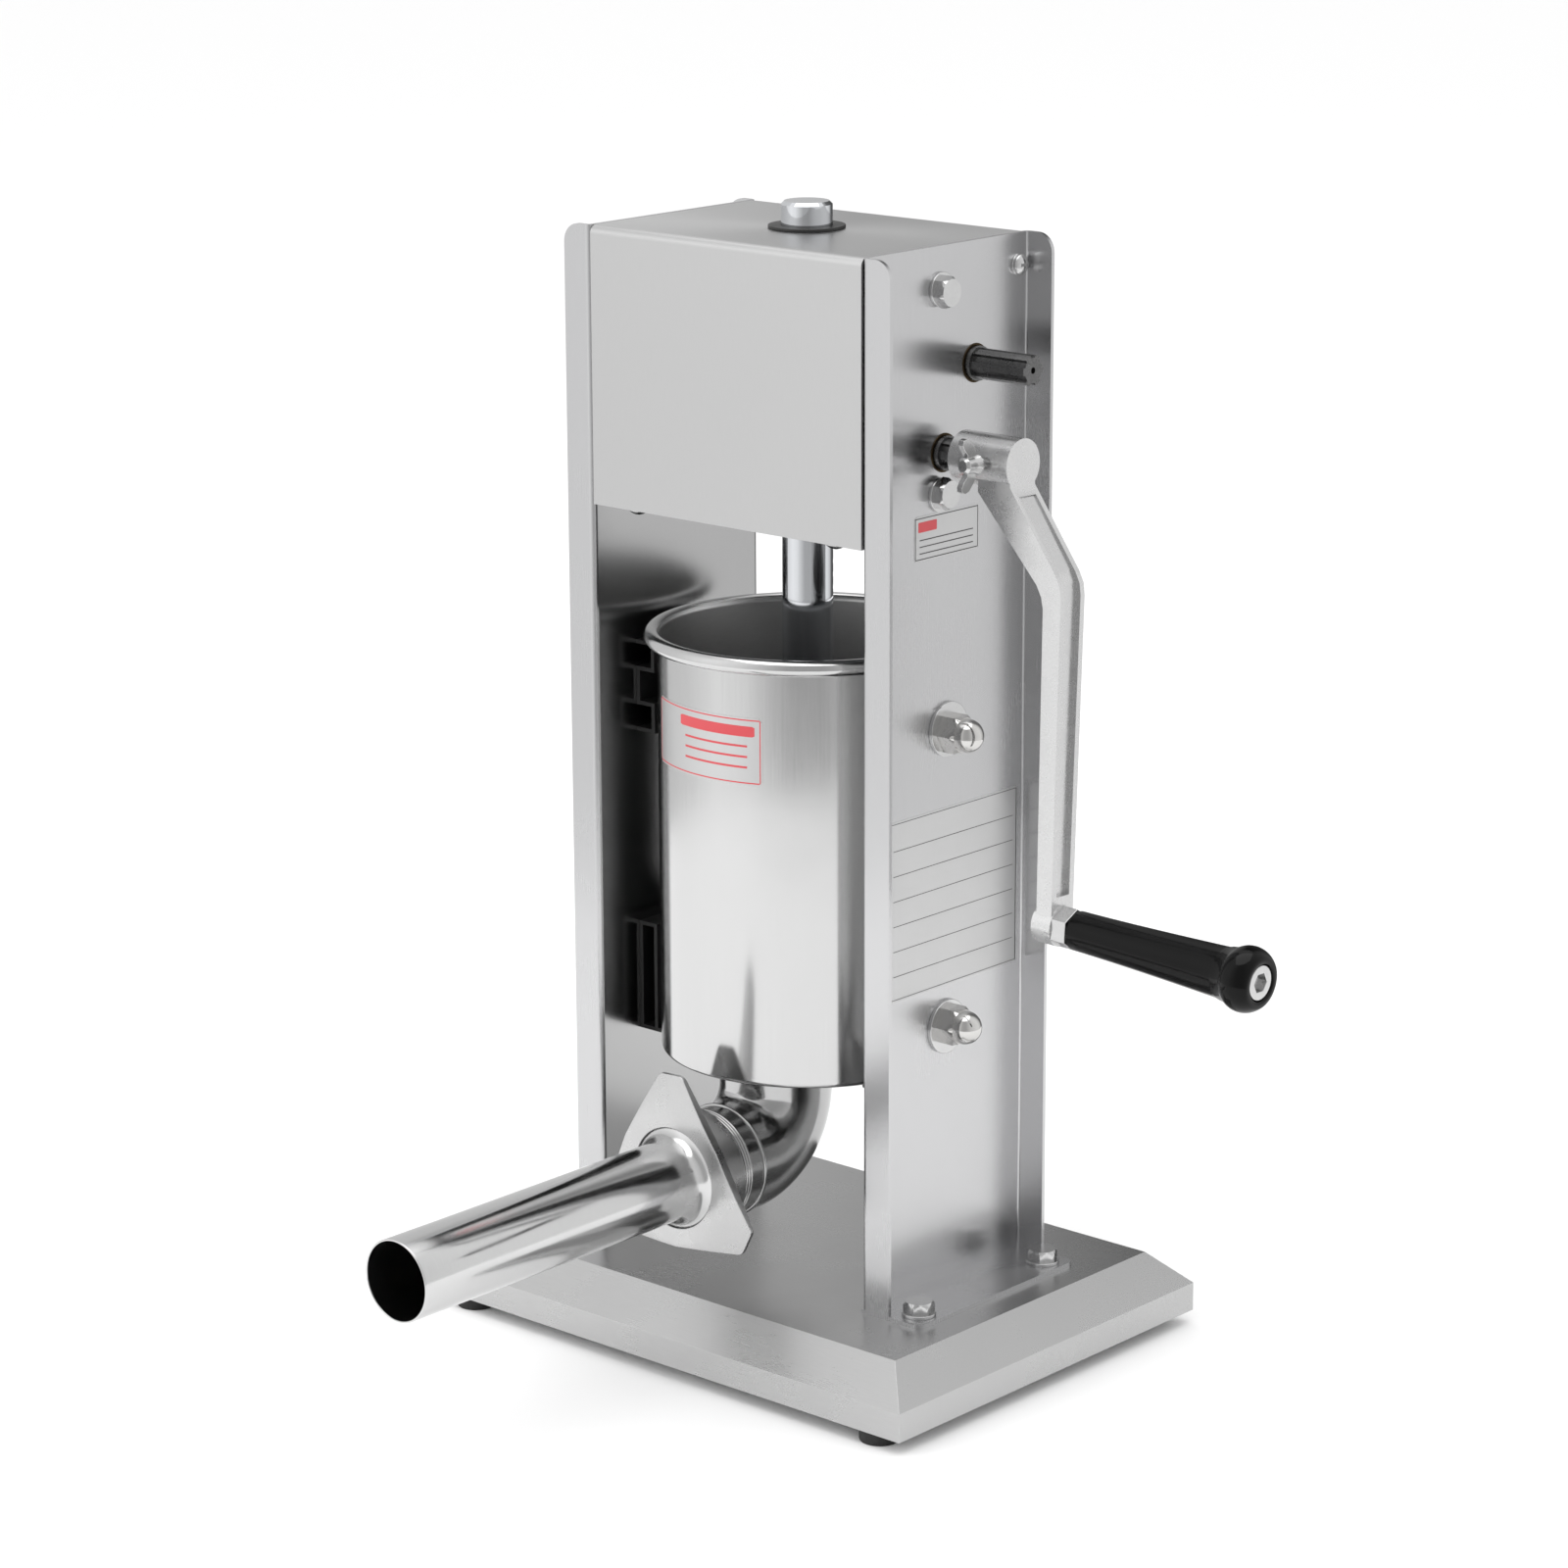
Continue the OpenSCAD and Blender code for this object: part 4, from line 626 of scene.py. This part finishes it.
# Film with a line printed round it a little way in
def framedLabel(name, label):
    (y0, y1), (z0, z1), line, inset = label["y"], label["z"], label["line"], label["inset"]
    flatLabel(name + "_film", y0, y1, z0, z1, "foil", film["lift"], film["thick"], label["corner"])
    strips = [(y0 + inset, y1 - inset, z0 + inset, z0 + inset + line),
              (y0 + inset, y1 - inset, z1 - inset - line, z1 - inset),
              (y0 + line, y0 + inset, z0 + inset, z1 - inset),
              (y1 - inset, y1 - line, z0 + inset, z1 - inset)]
    for k, strip in enumerate(strips):
        flatInk(f"{name}_line{k}", *strip, "inkBlack")


notice = {"y": (-23.6, 22.0), "z": (389.0, 410.0), "line": 0.45, "inset": 0.8, "corner": 2.0,
          "rules": 3, "ruleY": (-20, 18), "ruleTop": 398.6, "ruleStep": 3.1, "ruleThick": 0.5}
framedLabel("notice", notice)
flatInk("notice_bar", -21, -8, 402.5, 407.2, "inkRed", 0.6)
plate = {"y": (-41.0, 52.0), "z": (184.0, 270.0), "line": 0.3, "inset": 0.8, "corner": 1.5,
         "rules": 6, "ruleY": (-38, 49), "ruleTop": 256, "ruleStep": 12, "ruleThick": 0.3}
framedLabel("plate", plate)
for name, label in (("notice", notice), ("plate", plate)):
    for k in range(label["rules"]):
        z = label["ruleTop"] - label["ruleStep"] * k
        flatInk(f"{name}_rule{k}", *label["ruleY"], z, z + label["ruleThick"], "inkBlack")

# Curved label on the barrel; its ends are angles in degrees
sticker = {"from": -124.0, "to": -66.0, "z": (283.0, 315.0), "corner": 2.0, "cells": 36,
           "rules": 3, "ruleTop": 301, "ruleStep": 5}


# Cut into upright strips so that it lies on the curve
def curvedLabel(name, a0, a1, z0, z1, look, lift, thick, corner):
    bm = bmesh.new()
    width = math.radians(a1 - a0) * outer
    grid = {}
    for i in range(sticker["cells"] + 1):
        s = width * i / sticker["cells"]
        nearEnd = max(0, corner - min(s, width - s))
        inside = corner - math.sqrt(max(0, corner ** 2 - nearEnd ** 2))
        a = math.radians(a0) + s / outer
        for j, z in enumerate((z0 + inside, z1 - inside)):
            for k, radius in enumerate((outer + lift, outer + lift + thick)):
                grid[i, j, k] = bm.verts.new(Vector((radius * math.cos(a), radius * math.sin(a), z)) * mm)
    for i in range(sticker["cells"]):
        for (j0, k0), (j1, k1) in (((0, 1), (1, 1)), ((0, 0), (1, 0)), ((0, 0), (0, 1)), ((1, 0), (1, 1))):
            bm.faces.new([grid[i, j0, k0], grid[i + 1, j0, k0], grid[i + 1, j1, k1], grid[i, j1, k1]])
    for i in (0, sticker["cells"]):
        bm.faces.new([grid[i, 0, 0], grid[i, 1, 0], grid[i, 1, 1], grid[i, 0, 1]])
    return finishPiece(name, bm, look, "stand")


def curvedInk(name, a0, a1, z0, z1, corner=0.0):
    return curvedLabel(name, a0, a1, z0, z1, "inkRed", ink["curvedLift"], ink["thick"], corner)


a0, a1 = sticker["from"], sticker["to"]
z0, z1 = sticker["z"]
curvedLabel("sticker_film", a0, a1, z0, z1, "foil", film["lift"], film["curvedThick"], sticker["corner"])
curvedInk("sticker_bar", -105, a1 - 3, z1 - 9, z1 - 4, 0.5)
border = [(a0 + 1, a1 - 1, z0 + 0.8, z0 + 1.4), (a0 + 1, a1 - 1, z1 - 1.4, z1 - 0.8),
          (a0 + 0.6, a0 + 1, z0 + 1.2, z1 - 1.2), (a1 - 1, a1 - 0.6, z0 + 1.2, z1 - 1.2)]
for k, strip in enumerate(border):
    curvedInk(f"sticker_line{k}", *strip)
for k in range(sticker["rules"]):
    z = sticker["ruleTop"] - sticker["ruleStep"] * k
    curvedInk(f"sticker_rule{k}", -102, a1 - 6, z, z + 1)
print("labels made")

# Floor, light and camera

floorMesh = bpy.data.meshes.new("floor")
floorMesh.from_pydata([(-30, -30, 0), (30, -30, 0), (30, 30, 0), (-30, 30, 0)], [], [(0, 1, 2, 3)])
floor = bpy.data.objects.new("floor", floorMesh)
bpy.context.scene.collection.objects.link(floor)
paper = bpy.data.materials.new("whitePaper")
paper.use_nodes = True
paperShader = paper.node_tree.nodes["Principled BSDF"]
paperShader.inputs["Base Color"].default_value = toLinear("#F4F4F4")
paperShader.inputs["Roughness"].default_value = 0.9
floorMesh.materials.append(paper)

# A ring of soft panels round the set, seen only in the metal: bright in front and at the right, dark behind
studio = {"radius": 0.85, "height": 1.5, "panels": 96, "gap": 0.002}
studio["tones"] = [(-180, 0.80), (-150, 0.92), (-120, 1.15), (-97, 1.05), (-80, 0.78), (-62, 0.52),
                   (-38, 0.50), (-15, 0.75), (25, 0.95), (48, 1.0), (66, 0.75), (82, 0.16),
                   (112, 0.08), (126, 0.50), (140, 0.72), (180, 0.80)]
ringMesh = bpy.data.meshes.new("panels")
points, faces = [], []
for k in range(studio["panels"]):
    a = 2 * math.pi * k / studio["panels"]
    for z in (studio["gap"], studio["height"]):
        points.append((studio["radius"] * math.cos(a), studio["radius"] * math.sin(a), z))
    n = (k + 1) % studio["panels"]
    faces.append((2 * k, 2 * n, 2 * n + 1, 2 * k + 1))
ringMesh.from_pydata(points, [], faces)
panels = bpy.data.objects.new("panels", ringMesh)
bpy.context.scene.collection.objects.link(panels)
panelLight = bpy.data.materials.new("softPanels")
panelLight.use_nodes = True
tree = panelLight.node_tree
tree.nodes.clear()
place = addNode(tree, "ShaderNodeTexCoord")
around = addNode(tree, "ShaderNodeTexGradient", {"gradient_type": "RADIAL"},
                 {"Vector": place.outputs["Object"]})
tone = rampColours(addNode(tree, "ShaderNodeValToRGB", links={"Fac": around.outputs["Fac"]}),
                   [(angle / 360 + 0.5, grey(value)) for angle, value in studio["tones"]])
glow = addNode(tree, "ShaderNodeEmission", {"Strength": 1.0}, {"Color": tone.outputs["Color"]})
addNode(tree, "ShaderNodeOutputMaterial", links={"Surface": glow.outputs[0]})
ringMesh.materials.append(panelLight)
for ray in ("camera", "diffuse", "shadow", "transmission", "volume_scatter"):
    setattr(panels, "visible_" + ray, False)

world = bpy.data.worlds.new("softWorld")
bpy.context.scene.world = world
world.use_nodes = True
world.node_tree.nodes["Background"].inputs["Color"].default_value = (1, 1, 1, 1)
world.node_tree.nodes["Background"].inputs["Strength"].default_value = 1.08


def softbox(name, spot, target, size, power):
    light = bpy.data.lights.new(name, "AREA")
    light.shape = "RECTANGLE"
    light.size, light.size_y = size
    light.energy = power
    lamp = bpy.data.objects.new(name, light)
    bpy.context.scene.collection.objects.link(lamp)
    lamp.location = spot
    lamp.rotation_euler = (Vector(target) - Vector(spot)).to_track_quat("-Z", "Y").to_euler()
    return lamp


softbox("overhead", (0.2, -0.3, 2.6), (0, 0, 0.2), (2.4, 2.4), 26)
softbox("frontLeft", (-1.4, -2.2, 1.5), (0, 0, 0.25), (1.2, 1.6), 16)

view = {"azimuth": 41.593, "elevation": 14.688, "roll": -0.2327, "lens": 107.22,
        "from": (1.4155, -1.6121, 0.8289)}
az, el, roll = (math.radians(view[key]) for key in ("azimuth", "elevation", "roll"))
toCamera = Vector((math.sin(az) * math.cos(el), -math.cos(az) * math.cos(el), math.sin(el)))
right = (-toCamera).cross(Vector((0, 0, 1))).normalized()
up = right.cross(-toCamera)
camRight = right * math.cos(roll) + up * math.sin(roll)
camUp = up * math.cos(roll) - right * math.sin(roll)
lens = bpy.data.cameras.new("camera")
lens.lens = view["lens"]
lens.sensor_width = 36
camera = bpy.data.objects.new("camera", lens)
bpy.context.scene.collection.objects.link(camera)
cameraTurn = Matrix((camRight, camUp, toCamera)).transposed().to_4x4()
camera.matrix_world = Matrix.Translation(view["from"]) @ cameraTurn
bpy.context.scene.camera = camera
bpy.context.scene.view_settings.view_transform = "Standard"
print("stage, light and camera set")
